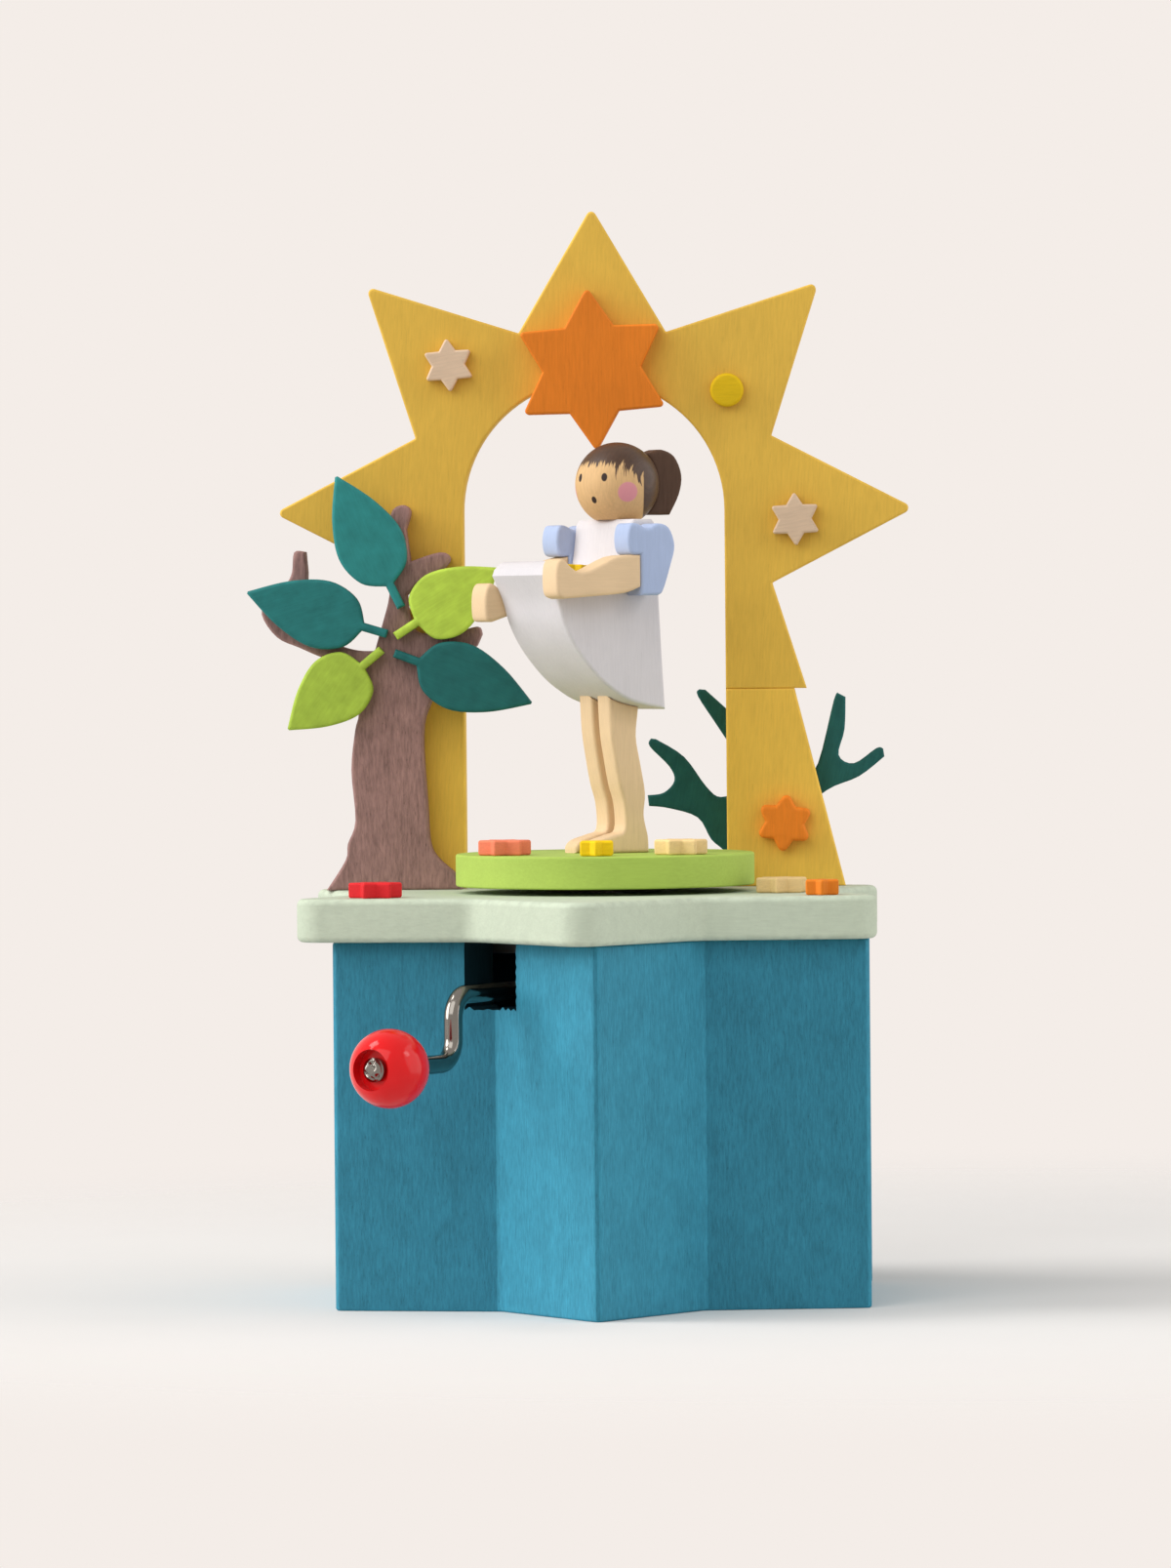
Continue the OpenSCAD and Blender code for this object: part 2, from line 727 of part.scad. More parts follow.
// Turntable
module turntable() {
    color([0.72, 0.83, 0.55])
        difference() {
            translate([0, 0, disc_z])
                cylinder(r = disc_r, h = disc_t, $fn = 128);
            translate([0, 0, disc_z - 1])
                cylinder(r = spindle_r, h = spindle_in + 1);
            at_doll()
                for (s = [-1, 1])
                    translate([-3, s * (leg_gap + leg_t) / 2, deck_z - pin_in])
                        cylinder(r = pin_r, h = pin_in + 1);
        }
}

module collar() {
    color([0.16, 0.13, 0.12])
        difference() {
            translate([0, 0, disc_z - collar_t])
                cylinder(r1 = collar_r - collar_bevel, r2 = collar_r, h = collar_t);
            translate([0, 0, disc_z - collar_t - 1])
                cylinder(r = spindle_r, h = collar_t + 2);
        }
}

module spindle() {
    color([0.75, 0.76, 0.78])
        translate([0, 0, crown_z])
            cylinder(r = spindle_r, h = disc_z + spindle_in - crown_z);
}

// Wheel with axial teeth, one tooth over the crank shaft; the tooth as shares of gear_m
crown_tooth = [[-0.5, 0.25], [-0.5, 0], [-0.28, -1.9], [0.28, -1.9], [0.5, 0], [0.5, 0.25]];

module crown_wheel() {
    color([0.82, 0.68, 0.34])
        rotate([0, 0, crank_az])
            difference() {
                union() {
                    translate([0, 0, crown_z])
                        cylinder(r = crown_r + gear_w / 2 + 0.2, h = crown_t);
                    translate([0, 0, crown_z + crown_t])
                        cylinder(r = spindle_r + 1.7, h = box_h - flange_t - 0.3 - crown_z - crown_t);
                    for (i = [0 : crown_n - 1])
                        rotate([0, 0, i * 360 / crown_n])
                            translate([crown_r - gear_w / 2, 0, crown_z])
                                rotate([90, 0, 90])
                                    linear_extrude(height = gear_w)
                                        polygon(gear_m * crown_tooth);
                }
                translate([0, 0, crown_z - 5])
                    cylinder(r = spindle_r, h = 20);
            }
}

module disc_pink_star() {
    color([0.9, 0.55, 0.5])
        flat_star(polar(0.79 * disc_r, 214.5), deck_z, star_r, 10);
}

module disc_yellow_star() {
    color([0.93, 0.78, 0.25])
        flat_star(polar(0.79 * disc_r, 268), deck_z, small_star_r, 30);
}

module disc_cream_star() {
    color([0.93, 0.88, 0.74])
        flat_star(polar(0.79 * disc_r, -48.5), deck_z, star_r, 5);
}

// Doll, facing +X before it is turned
leg_front = run([[2.4, 30], [2, 25.9], [1.65, 20], [1, 15.9], [0.1, 11.4], [-0.9, 8], [-1, 3.9],
    [1, 3], [3.8, 2.2], [5, 1.2], [5.1, 0]]);
leg_back = run([[-5.8, 0], [-5.7, 2.6], [-4.9, 6.1], [-5.2, 9.8], [-4.3, 14.7], [-3.5, 19.1],
    [-4, 24], [-4.3, 30]]);
dress_low = run([[-6.7, 0], [-0.4, 1.2], [3.6, 3.2], [7, 5.8], [10.7, 10], [13, 14], [14.4, 18.2],
    [16.3, 22]]);
dress_rim = run([[15.9, 23], [14.6, 24.1], [13, 24.2], [10.6, 22.6]]);
dress_front = run([[1.2, 21.9], [0.5, 25], [-0.2, 30.4]]);
dress_back = run([[-4.8, 30.6], [-5.2, 25], [-5.6, 18.6], [-6.1, 9]]);

function dress_outline() = moved(scaled(concat(dress_low, dress_rim, dress_front,
    [[-0.8, 31.1], [-4.3, 31.1]], dress_back), 1, dress_k), 0, hem_z);

module doll_leg(s) {
    at_doll()
        difference() {
            upright(s * (leg_gap + leg_t) / 2 - leg_t / 2, leg_t)
                polygon(moved(scaled(concat(leg_front, leg_back), 1, leg_k), 0, deck_z));
            upright(-dress_w / 2, dress_w)
                polygon(dress_outline());
            upright(-dress_w / 2, dress_w)
                polygon([[-5, hem_z + 4], [8, hem_z + 4], [8, hem_z + 20], [-5, hem_z + 20]]);
            translate([-3, s * (leg_gap + leg_t) / 2, deck_z - 1])
                cylinder(r = pin_r, h = pin_in + 1);
        }
}

module doll_leg_left() {
    color([0.88, 0.75, 0.55])
        doll_leg(1);
}

module doll_leg_right() {
    color([0.88, 0.75, 0.55])
        doll_leg(-1);
}

module foot_pins() {
    color([0.75, 0.76, 0.78])
        at_doll()
            for (s = [-1, 1])
                translate([-3, s * (leg_gap + leg_t) / 2, deck_z - pin_in])
                    cylinder(r = pin_r, h = 2 * pin_in);
}

module dress() {
    color([0.9, 0.9, 0.93])
        at_doll()
            difference() {
                upright(-dress_w / 2, dress_w)
                    polygon(dress_outline());
                translate([-head_back, 0, dress_z - neck_in])
                    cylinder(r = neck_r, h = neck_in + 1);
            }
}

// Sleeve with a puffed shoulder, its lower front edge straight for the arm
sleeve_puff = run([[1, 25.2], [2.9, 25.4], [3.5, 27.6], [3, 30], [1.6, 30.3], [-0.4, 29.5],
    [-2.4, 30.3], [-4.6, 29.6], [-5.7, 26.7], [-4.9, 23.5], [-3.4, 19.4], [-2.4, 18.6]]);
arm_top = run([[1, 25.2], [5.6, 24.9], [11.4, 22.5], [13.8, 22.8], [16, 24.5], [17.1, 23.8],
    [17.4, 21.4], [17.1, 18.8], [15.8, 18.1]]);
arm_under = run([[10, 18.5], [4, 19], [1, 20]]);

module sleeve(s) {
    at_doll()
        upright(s * (dress_w + arm_t) / 2 - arm_t / 2, arm_t)
            polygon(moved(concat(sleeve_puff, [[1, 18.6]]), 0, dress_z - 31.1));
}

module arm(s, drop) {
    lowered = [for (q = concat(arm_top, arm_under)) [q[0], q[1] - drop * (q[0] - 1) / 16]];
    at_doll()
        upright(s * (dress_w + arm_t) / 2 - arm_t / 2, arm_t)
            polygon(moved(lowered, 0, dress_z - 31.1));
}

module sleeve_left() {
    color([0.65, 0.71, 0.84])
        sleeve(1);
}

module sleeve_right() {
    color([0.65, 0.71, 0.84])
        sleeve(-1);
}

module arm_left() {
    color([0.88, 0.75, 0.55])
        arm(1, 0);
}

module arm_right() {
    color([0.88, 0.75, 0.55])
        arm(-1, hand_drop);
}

module neck_dowel() {
    color([0.8, 0.65, 0.45])
        at_doll()
            translate([-head_back, 0, dress_z - neck_in])
                cylinder(r = neck_r, h = 2 * neck_in);
}

module head() {
    color([0.88, 0.75, 0.55])
        at_doll()
            difference() {
                translate([-head_back, 0, head_z])
                    sphere(r = head_r);
                translate([-20, -20, dress_z - 20])
                    cube([40, 40, 20]);
                translate([-head_back, 0, dress_z - 1])
                    cylinder(r = neck_r, h = neck_in + 1);
            }
}

tail_edge = run([[0, 5.4], [-1.6, 5.7], [-4, 4.6], [-5.4, 1.6], [-4.9, -1.6], [-3, -5]]);

module ponytail() {
    color([0.3, 0.21, 0.17])
        at_doll()
            difference() {
                upright(-tail_t / 2, tail_t)
                    polygon(moved(concat(tail_edge, [[1.6, -5], [2.6, 5]]), 0.7 - head_back - head_r,
                        head_z));
                translate([-head_back, 0, head_z])
                    sphere(r = head_r);
            }
}

// Star lying on the slope of the lap, between the front of the waist and the rim of the skirt
module lap_star() {
    a = dress_front[0];
    b = dress_rim[len(dress_rim) - 1];
    m = a + 0.42 * (b - a);
    color([0.93, 0.78, 0.25])
        at_doll()
            translate([m[0], 0.5, hem_z + m[1] * dress_k])
                rotate([0, -atan2((b[1] - a[1]) * dress_k, b[0] - a[0]), 0])
                    linear_extrude(height = lap_star_t)
                        polygon(rounded(star(6, lap_star_r, 0.62 * lap_star_r, 10), [0.3, 0.2], 3));
}

// Crank
module crank_wire() {
    color([0.78, 0.79, 0.8])
        at_crank() {
            translate([lug_in - lug_t - 1, 0, 0])
                rotate([0, 90, 0])
                    cylinder(r = wire_r, h = arm_x - bend_r - lug_in + lug_t + 1);
            translate([arm_x - bend_r, 0, -bend_r])
                rotate([90, 0, 0])
                    rotate_extrude(angle = 90)
                        translate([bend_r, 0])
                            circle(r = wire_r);
            translate([arm_x, 0, bend_r - throw])
                cylinder(r = wire_r, h = throw - 2 * bend_r);
            translate([arm_x + bend_r, 0, bend_r - throw])
                rotate([90, 0, 0])
                    rotate([0, 0, 180])
                        rotate_extrude(angle = 90)
                            translate([bend_r, 0])
                                circle(r = wire_r);
            translate([arm_x + bend_r, 0, -throw])
                rotate([0, 90, 0])
                    cylinder(r = wire_r, h = knob_end + 0.3 + washer_t + 0.4 - arm_x - bend_r);
        }
}

// Pinion with a tooth gap on top; the tooth as shares of the pitch radius and angles
pinion_tooth = [[0.72, -15], [1, -9], [1.24, -5], [1.24, 5], [1, 9], [0.72, 15]];

module pinion() {
    color([0.82, 0.68, 0.34])
        at_crank()
            translate([crown_r - gear_w / 2 - 0.2, 0, 0])
                rotate([90, 0, 90])
                    difference() {
                        linear_extrude(height = gear_w + 0.4)
                            polygon([for (i = [0 : pinion_n - 1], q = pinion_tooth)
                                polar(pinion_r * q[0], 90 + (i + 0.5) * 360 / pinion_n + q[1])]);
                        translate([0, 0, -1])
                            cylinder(r = wire_r, h = gear_w + 2.4);
                    }
}

// Worm: an off-centre round section turned along the shaft
module worm() {
    color([0.75, 0.76, 0.78])
        at_crank()
            translate([arbor_x - worm_turns * worm_p / 2, 0, 0])
                rotate([0, 90, 0])
                    linear_extrude(height = worm_turns * worm_p, twist = -360 * worm_turns,
                            slices = 12 * worm_turns, segments = 14)
                        difference() {
                            translate([-worm_e * cos(180 * worm_turns), 0])
                                circle(r = worm_r, $fn = 14);
                            circle(r = 1.09 * wire_r, $fn = 14);
                        }
}

module knob_washer() {
    color([0.78, 0.79, 0.8])
        at_crank()
            translate([knob_end + 0.3, 0, -throw])
                rotate([0, 90, 0])
                    difference() {
                        cylinder(r = washer_r, h = washer_t);
                        translate([0, 0, -1])
                            cylinder(r = wire_r, h = washer_t + 2);
                    }
}

module knob() {
    color([0.8, 0.06, 0.05])
        at_crank()
            translate([knob_x, 0, -throw])
                rotate([0, 90, 0])
                    difference() {
                        sphere(r = knob_r);
                        translate([0, 0, -knob_r - 1])
                            cylinder(r = wire_r + run_gap, h = 2 * knob_r + 2);
                        translate([0, 0, knob_r - recess_in])
                            cylinder(r = recess_r, h = recess_in + 1);
                    }
}

// Barrel with pins, one row of pins for each comb tooth
module barrel() {
    color([0.85, 0.7, 0.35])
        at_crank()
            translate([arbor_x, barrel_y, -arbor_drop])
                rotate([-90, 0, 0])
                    difference() {
                        union() {
                            cylinder(r = barrel_r, h = barrel_l);
                            for (i = [0 : comb_n - 1], k = [0 : 2])
                                translate([0, 0, comb_in + (i + 0.5) * comb_p])
                                    rotate([0, 90, 40 + 137.5 * i + 110 * k])
                                        cylinder(r = 0.2, h = barrel_r + pick_h, $fn = 6);
                        }
                        translate([0, 0, -1])
                            cylinder(r = arbor_r, h = barrel_l + 2);
                    }
}

module arbor() {
    color([0.75, 0.76, 0.78])
        at_crank()
            translate([arbor_x, lug_b - lug_t, -arbor_drop])
                rotate([-90, 0, 0])
                    cylinder(r = arbor_r, h = lug_a - lug_b + 2 * lug_t);
}

// Worm wheel, a tooth up; the tooth as heights on the pitch radius and angles
wheel_tooth = [[-0.55, -5], [0.4, -2.4], [0.4, 2.4], [-0.55, 5]];

module worm_wheel() {
    color([0.82, 0.68, 0.34])
        at_crank()
            translate([arbor_x, -1, -arbor_drop])
                rotate([-90, 0, 0])
                    difference() {
                        linear_extrude(height = 2)
                            polygon([for (i = [0 : wheel_n - 1], q = wheel_tooth)
                                polar(wheel_r + q[0], -90 + i * 360 / wheel_n + q[1])]);
                        translate([0, 0, -1])
                            cylinder(r = arbor_r, h = 4);
                    }
}

star_box();
bottom_plate();
bottom_screws();
top_plate();
arch_top();
arch_leg_left();
arch_leg_right();
arch_dowels();
arch_orange_star();
arch_cream_stars();
arch_button();
leg_orange_star();
tree_trunk();
leaf_top();
leaf_left();
leaf_right();
leaf_lower_left();
leaf_lower_right();
bush();
plate_red_star();
plate_cream_star();
plate_orange_star();
bedplate();
bed_screws();
spindle_bush();
comb();
comb_screws();
turntable();
collar();
spindle();
crown_wheel();
disc_pink_star();
disc_yellow_star();
disc_cream_star();
doll_leg_left();
doll_leg_right();
foot_pins();
dress();
sleeve_left();
sleeve_right();
arm_left();
arm_right();
neck_dowel();
head();
ponytail();
lap_star();
crank_wire();
pinion();
worm();
knob_washer();
knob();
barrel();
arbor();
worm_wheel();
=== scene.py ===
import json
import math
import random

import bmesh
import bpy
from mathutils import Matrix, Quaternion, Vector
from mathutils.geometry import tessellate_polygon


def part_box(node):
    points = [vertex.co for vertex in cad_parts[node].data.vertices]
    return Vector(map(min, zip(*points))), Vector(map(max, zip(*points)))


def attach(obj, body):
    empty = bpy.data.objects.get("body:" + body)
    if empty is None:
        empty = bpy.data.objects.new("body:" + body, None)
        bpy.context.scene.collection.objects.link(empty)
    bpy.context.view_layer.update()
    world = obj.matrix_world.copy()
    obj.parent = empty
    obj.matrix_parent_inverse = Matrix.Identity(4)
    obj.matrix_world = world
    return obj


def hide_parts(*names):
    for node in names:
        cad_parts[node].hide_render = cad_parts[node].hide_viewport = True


bl_info = {
    "name": "Wooden music box",
    "version": (1, 0, 0),
    "blender": (4, 5, 0),
    "location": "3D View > Sidebar > Music box",
    "description": "Sawn, stained and painted looks of a hand-cranked music box on its CAD frame",
    "category": "Object",
}

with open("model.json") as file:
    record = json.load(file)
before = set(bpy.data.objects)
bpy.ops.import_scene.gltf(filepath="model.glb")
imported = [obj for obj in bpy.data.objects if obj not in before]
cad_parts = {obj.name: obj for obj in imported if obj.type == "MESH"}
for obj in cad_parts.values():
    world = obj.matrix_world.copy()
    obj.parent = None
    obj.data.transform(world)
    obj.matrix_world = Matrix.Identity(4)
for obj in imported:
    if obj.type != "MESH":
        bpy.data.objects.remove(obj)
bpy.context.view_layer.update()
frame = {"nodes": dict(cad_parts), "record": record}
NODES = frame["nodes"]
BODY = {n: b for b, nodes in frame["record"]["behaviour"]["bodies"].items() for n in nodes}

UP = Vector((0, 0, 1))
MM = 0.001
WELD = 2e-6
SHARP = math.radians(40)
ROUND_STEPS = 4
BORE_STEPS = 96

# Directions seen from above. The doll's face looks a little further round than its body.
FACE_TURN = math.radians(232)
CRANK_TURN = math.radians(240)
DOLL_TURN = math.radians(215)


def tint(red, green, blue):
    """Scene-linear colour of an sRGB one given in 0 to 255."""
    return tuple(
        c / 12.92 if c <= 0.04045 else ((c + 0.055) / 1.055) ** 2.4
        for c in (red / 255, green / 255, blue / 255)
    )


def length(name, description, default):
    """Property for a size in metres."""
    return bpy.props.FloatProperty(
        name=name, description=description, default=default, min=0, unit="LENGTH", precision=5
    )


def colour(name, description, *srgb):
    """Property for a stain or paint colour."""
    return bpy.props.FloatVectorProperty(
        name=name, description=description, default=tint(*srgb), min=0, max=1, subtype="COLOR", size=3
    )


class MusicBoxSizes(bpy.types.PropertyGroup):
    """Edge roundings and small shapes that the CAD frame leaves to the looks."""

    box_edge: length("Box edge", "Rounding of the box's rims", 0.5 * MM)
    floor_edge: length("Bottom edge", "Rounding of the bottom plate's rims", 0.4 * MM)
    plate_edge: length("Plate edge", "Rounding of the top plate's rims", 1.0 * MM)
    board_edge: length("Board edge", "Rounding of the arch boards' edges", 0.4 * MM)
    star_edge: length("Star edge", "Rounding of the applied stars' edges", 0.4 * MM)
    tree_edge: length("Tree edge", "Rounding of the trunk's and bush's edges", 0.5 * MM)
    leaf_edge: length("Leaf edge", "Rounding of the leaves' edges", 0.6 * MM)
    disc_edge: length("Disc edge", "Rounding of the turntable's rims", 0.4 * MM)
    dress_edge: length("Dress edge", "Rounding of the dress's edges", 0.6 * MM)
    limb_edge: length("Limb edge", "Rounding of the arms', sleeves' and legs' edges", 0.6 * MM)
    notch_chip: length("Notch chips", "Height of the torn fibres round the crank notch", 0.7 * MM)
    fibre_length: length("Fibre length", "Stretch of the wood grain along the board", 12 * MM)


class MusicBoxColours(bpy.types.PropertyGroup):
    """Stains, paints and metals of the frame's slots, a second cream, and the colours of the face."""

    blue_wood: colour("Blue stain", "Box", 55, 138, 163)
    raw_wood: colour("Bare wood", "Bottom plate and dowels", 214, 184, 140)
    mint_wood: colour("Mint stain", "Top plate", 194, 204, 182)
    yellow_wood: colour("Yellow stain", "Arch and its legs", 224, 181, 74)
    orange_wood: colour("Orange stain", "Big star, leg star and small plate star", 224, 124, 32)
    cream_wood: colour("Cream stain", "Cream stars on the arch", 216, 188, 160)
    straw_wood: colour("Straw stain", "Cream stars on the plate and the turntable", 232, 200, 142)
    gold_wood: colour("Lemon stain", "Button and yellow stars", 216, 178, 16)
    brown_wood: colour("Brown stain", "Tree trunk", 152, 117, 111)
    teal_wood: colour("Teal stain", "Dark leaves", 38, 115, 113)
    lime_wood: colour("Lime stain", "Light leaves", 176, 203, 74)
    dark_green_wood: colour("Dark green stain", "Bush", 33, 92, 88)
    red_wood: colour("Red stain", "Red star", 214, 36, 42)
    pink_wood: colour("Salmon stain", "Pink star", 236, 128, 96)
    green_wood: colour("Light green stain", "Turntable", 176, 202, 92)
    skin_wood: colour("Pale wood", "Arms and legs", 234, 203, 162)
    white_wood: colour("White paint", "Dress", 224, 219, 221)
    pale_blue_wood: colour("Pale blue paint", "Sleeves", 172, 187, 218)
    hair_wood: colour("Hair paint", "Hair and ponytail", 78, 55, 41)
    dark_collar: colour("Dark collar", "Collar below the turntable", 84, 78, 62)
    red_gloss: colour("Red lacquer", "Crank knob", 226, 18, 22)
    bright_wire: colour("Bright wire", "Crank and its peened end", 128, 124, 118)
    steel: colour("Steel", "Screws, comb and shafts", 176, 178, 180)
    brass: colour("Brass", "Gears, bush and barrel", 214, 178, 104)
    casting: colour("Casting", "Bedplate", 168, 168, 164)
    face_wood: colour("Face wood", "Varnished wood of the face", 214, 174, 122)
    eye_paint: colour("Eye paint", "Eyes and mouth", 46, 32, 26)
    cheek_paint: colour("Cheek paint", "Cheeks", 220, 140, 156)


def sizes():
    """Sizes set in the scene."""
    return bpy.context.scene.music_box_sizes


def colours():
    """Colours set in the scene."""
    return bpy.context.scene.music_box_colours


# Shader building


def add(tree, kind, settings=None, inputs=None):
    """New node with its settings, and its inputs set to values or linked to sockets."""
    made = tree.nodes.new(kind)
    for key, value in (settings or {}).items():
        setattr(made, key, value)
    for key, value in (inputs or {}).items():
        if isinstance(value, bpy.types.NodeSocket):
            tree.links.new(value, made.inputs[key])
        else:
            made.inputs[key].default_value = value
    return made


def calc(tree, operation, a, b=0.0, clamp=False):
    """Output of a Math node."""
    made = add(tree, "ShaderNodeMath", {"operation": operation, "use_clamp": clamp}, {0: a, 1: b})
    return made.outputs[0]


def step(tree, value, low, high):
    """Value brought from low..high to 0..1 with a soft start and end."""
    made = add(
        tree,
        "ShaderNodeMapRange",
        {"interpolation_type": "SMOOTHSTEP"},
        {"Value": value, "From Min": low, "From Max": high},
    )
    return made.outputs["Result"]


def noise(tree, vector, scale, detail=2.0, roughness=0.5):
    """Output of a Noise Texture."""
    made = add(
        tree,
        "ShaderNodeTexNoise",
        None,
        {"Vector": vector, "Scale": scale, "Detail": detail, "Roughness": roughness},
    )
    return made.outputs["Fac"]


def blend(tree, share, a, b):
    """Colour between a and b."""
    made = add(tree, "ShaderNodeMix", {"data_type": "RGBA"}, {"Factor": share, 6: a, 7: b})
    return made.outputs[2]


def scaled(tree, vector, gain):
    """Colour or vector times a gain."""
    made = add(tree, "ShaderNodeVectorMath", {"operation": "SCALE"}, {0: vector, "Scale": gain})
    return made.outputs[0]


def new_group(name, inputs, outputs):
    """Empty shader node group with its sockets; returns the tree and its two end nodes."""
    tree = bpy.data.node_groups.new(name, "ShaderNodeTree")
    for side, sockets in (("INPUT", inputs), ("OUTPUT", outputs)):
        for socket, kind in sockets:
            tree.interface.new_socket(name=socket, in_out=side, socket_type="NodeSocket" + kind)
    return tree, tree.nodes.new("NodeGroupInput"), tree.nodes.new("NodeGroupOutput")


def wood_grain_group():
    """Fibres, growth streaks and a height from a vector whose Z runs along the grain."""
    name = "wood_grain"
    if name in bpy.data.node_groups:
        return bpy.data.node_groups[name]
    tree, start, end = new_group(
        name,
        [("Vector", "Vector"), ("Fineness", "Float")],
        [("Fibre", "Float"), ("Streak", "Float"), ("Pore", "Float"), ("Height", "Float")],
    )
    vector, fine = start.outputs["Vector"], start.outputs["Fineness"]
    fibre = noise(tree, vector, fine, 4, 0.65)
    streak = noise(tree, vector, calc(tree, "MULTIPLY", fine, 0.17), 3, 0.55)
    pore = step(tree, noise(tree, vector, calc(tree, "MULTIPLY", fine, 2.1), 2, 0.5), 0.62, 0.76)
    height = calc(tree, "SUBTRACT", fibre, calc(tree, "MULTIPLY", pore, 0.5))
    for socket, value in (("Fibre", fibre), ("Streak", streak), ("Pore", pore), ("Height", height)):
        tree.links.new(value, end.inputs[socket])
    return tree


def stain_group():
    """Stain or paint that takes unevenly in the grain and is thinner along sanded edges."""
    name = "stain_wear"
    if name in bpy.data.node_groups:
        return bpy.data.node_groups[name]
    tree, start, end = new_group(
        name,
        [
            ("Color", "Color"),
            ("Fibre", "Float"),
            ("Streak", "Float"),
            ("Pore", "Float"),
            ("Blotch", "Float"),
            ("Rim", "Float"),
            ("Contrast", "Float"),
            ("Mottle", "Float"),
            ("Wear", "Float"),
        ],
        [("Color", "Color"), ("Roughness", "Float")],
    )
    get = start.outputs
    shade = calc(tree, "SUBTRACT", get["Fibre"], 0.5)
    drift = calc(tree, "MULTIPLY", calc(tree, "SUBTRACT", get["Streak"], 0.5), 0.3)
    shade = calc(tree, "ADD", shade, drift)
    shade = calc(tree, "SUBTRACT", shade, calc(tree, "MULTIPLY", get["Pore"], 0.3))
    gain = calc(tree, "ADD", calc(tree, "MULTIPLY", shade, get["Contrast"]), 1.0)
    cloud = calc(tree, "MULTIPLY", calc(tree, "SUBTRACT", get["Blotch"], 0.5), get["Mottle"])
    gain = calc(tree, "ADD", gain, cloud)
    stained = scaled(tree, get["Color"], gain)
    bare = scaled(tree, get["Color"], 1.35)
    worn = calc(tree, "MULTIPLY", get["Rim"], get["Wear"])
    worn = calc(tree, "MULTIPLY", worn, step(tree, get["Blotch"], 0.35, 0.65), True)
    tree.links.new(blend(tree, worn, stained, bare), end.inputs["Color"])
    rough = calc(tree, "MULTIPLY", calc(tree, "SUBTRACT", 0.5, get["Fibre"]), 0.25)
    rough = calc(tree, "ADD", rough, calc(tree, "MULTIPLY", worn, 0.06))
    tree.links.new(calc(tree, "ADD", rough, 0.66), end.inputs["Roughness"])
    return tree


def metal_group():
    """Fine turning marks and smears of handled metal."""
    name = "handled_metal"
    if name in bpy.data.node_groups:
        return bpy.data.node_groups[name]
    tree, start, end = new_group(
        name,
        [("Vector", "Vector"), ("Color", "Color"), ("Dullness", "Float")],
        [("Color", "Color"), ("Roughness", "Float"), ("Height", "Float")],
    )
    get = start.outputs
    marks = noise(tree, get["Vector"], 2600.0, 2)
    smear = noise(tree, get["Vector"], 240.0, 3)
    gain = calc(tree, "ADD", calc(tree, "MULTIPLY", smear, 0.25), 0.86)
    tree.links.new(scaled(tree, get["Color"], gain), end.inputs["Color"])
    rough = calc(tree, "MULTIPLY", calc(tree, "SUBTRACT", smear, 0.5), 0.3)
    tree.links.new(calc(tree, "ADD", rough, get["Dullness"], True), end.inputs["Roughness"])
    tree.links.new(marks, end.inputs["Height"])
    return tree


def new_material(name):
    """Material with an empty tree, its Principled shader and its object coordinates."""
    made = bpy.data.materials.new(name)
    made.use_nodes = True
    tree = made.node_tree
    tree.nodes.clear()
    shader = tree.nodes.new("ShaderNodeBsdfPrincipled")
    end = tree.nodes.new("ShaderNodeOutputMaterial")
    tree.links.new(shader.outputs[0], end.inputs["Surface"])
    return made, tree, shader, tree.nodes.new("ShaderNodeTexCoord").outputs["Object"]


def bump(tree, shader, height, strength, depth):
    """Fine relief on the shader's normal."""
    made = add(
        tree, "ShaderNodeBump", None, {"Height": height, "Strength": strength, "Distance": depth}
    )
    tree.links.new(made.outputs[0], shader.inputs["Normal"])


def grained(tree, place, grain, base, contrast, wear, mottle=0.2, patches=90.0, fibre=1.0):
    """Stained colour, roughness and height of wood whose fibres run along grain.

    mottle is the depth of its cloudy patches and patches how many fit in a metre; fibre stretches
    or shortens the fibres.
    """
    turn = UP.rotation_difference(Vector(grain).normalized()).to_euler()
    along = add(
        tree,
        "ShaderNodeMapping",
        {"vector_type": "TEXTURE"},
        {"Vector": place, "Rotation": turn, "Scale": (MM, MM, fibre * sizes().fibre_length)},
    )
    wood = add(
        tree,
        "ShaderNodeGroup",
        {"node_tree": wood_grain_group()},
        {"Vector": along.outputs[0], "Fineness": 2.8},
    ).outputs
    rim = add(tree, "ShaderNodeAttribute", {"attribute_name": "rim"}).outputs["Fac"]
    stain = add(
        tree,
        "ShaderNodeGroup",
        {"node_tree": stain_group()},
        {
            "Color": base,
            "Fibre": wood["Fibre"],
            "Streak": wood["Streak"],
            "Pore": wood["Pore"],
            "Blotch": noise(tree, place, patches, 3),
            "Rim": rim,
            "Contrast": contrast,
            "Mottle": mottle,
            "Wear": wear,
        },
    ).outputs
    return stain["Color"], stain["Roughness"], wood["Height"]


def wood(
    slot, grain, contrast=0.35, wear=0.5, relief=0.25, kind="finish", tone=1.0, stipple=0.0, **cloud
):
    """Stained or painted wood for a slot; grain is the direction of its fibres.

    kind names one of several finishes of the same slot, tone lightens or darkens its stain, stipple
    roughens its paint, and cloud passes on mottle, patches and fibre.
    """
    name = slot + "_" + kind
    if name in bpy.data.materials:
        return bpy.data.materials[name]
    made, tree, shader, place = new_material(name)
    base = (*(c * tone for c in getattr(colours(), slot)), 1)
    stained, rough, height = grained(tree, place, grain, base, contrast, wear, **cloud)
    tree.links.new(stained, shader.inputs["Base Color"])
    tree.links.new(rough, shader.inputs["Roughness"])
    shader.inputs["Specular IOR Level"].default_value = 0.2
    if stipple:
        grit = calc(tree, "MULTIPLY", noise(tree, place, 1300.0, 2), stipple)
        height = calc(tree, "ADD", height, grit)
    bump(tree, shader, height, relief, 0.06 * MM)
    return made


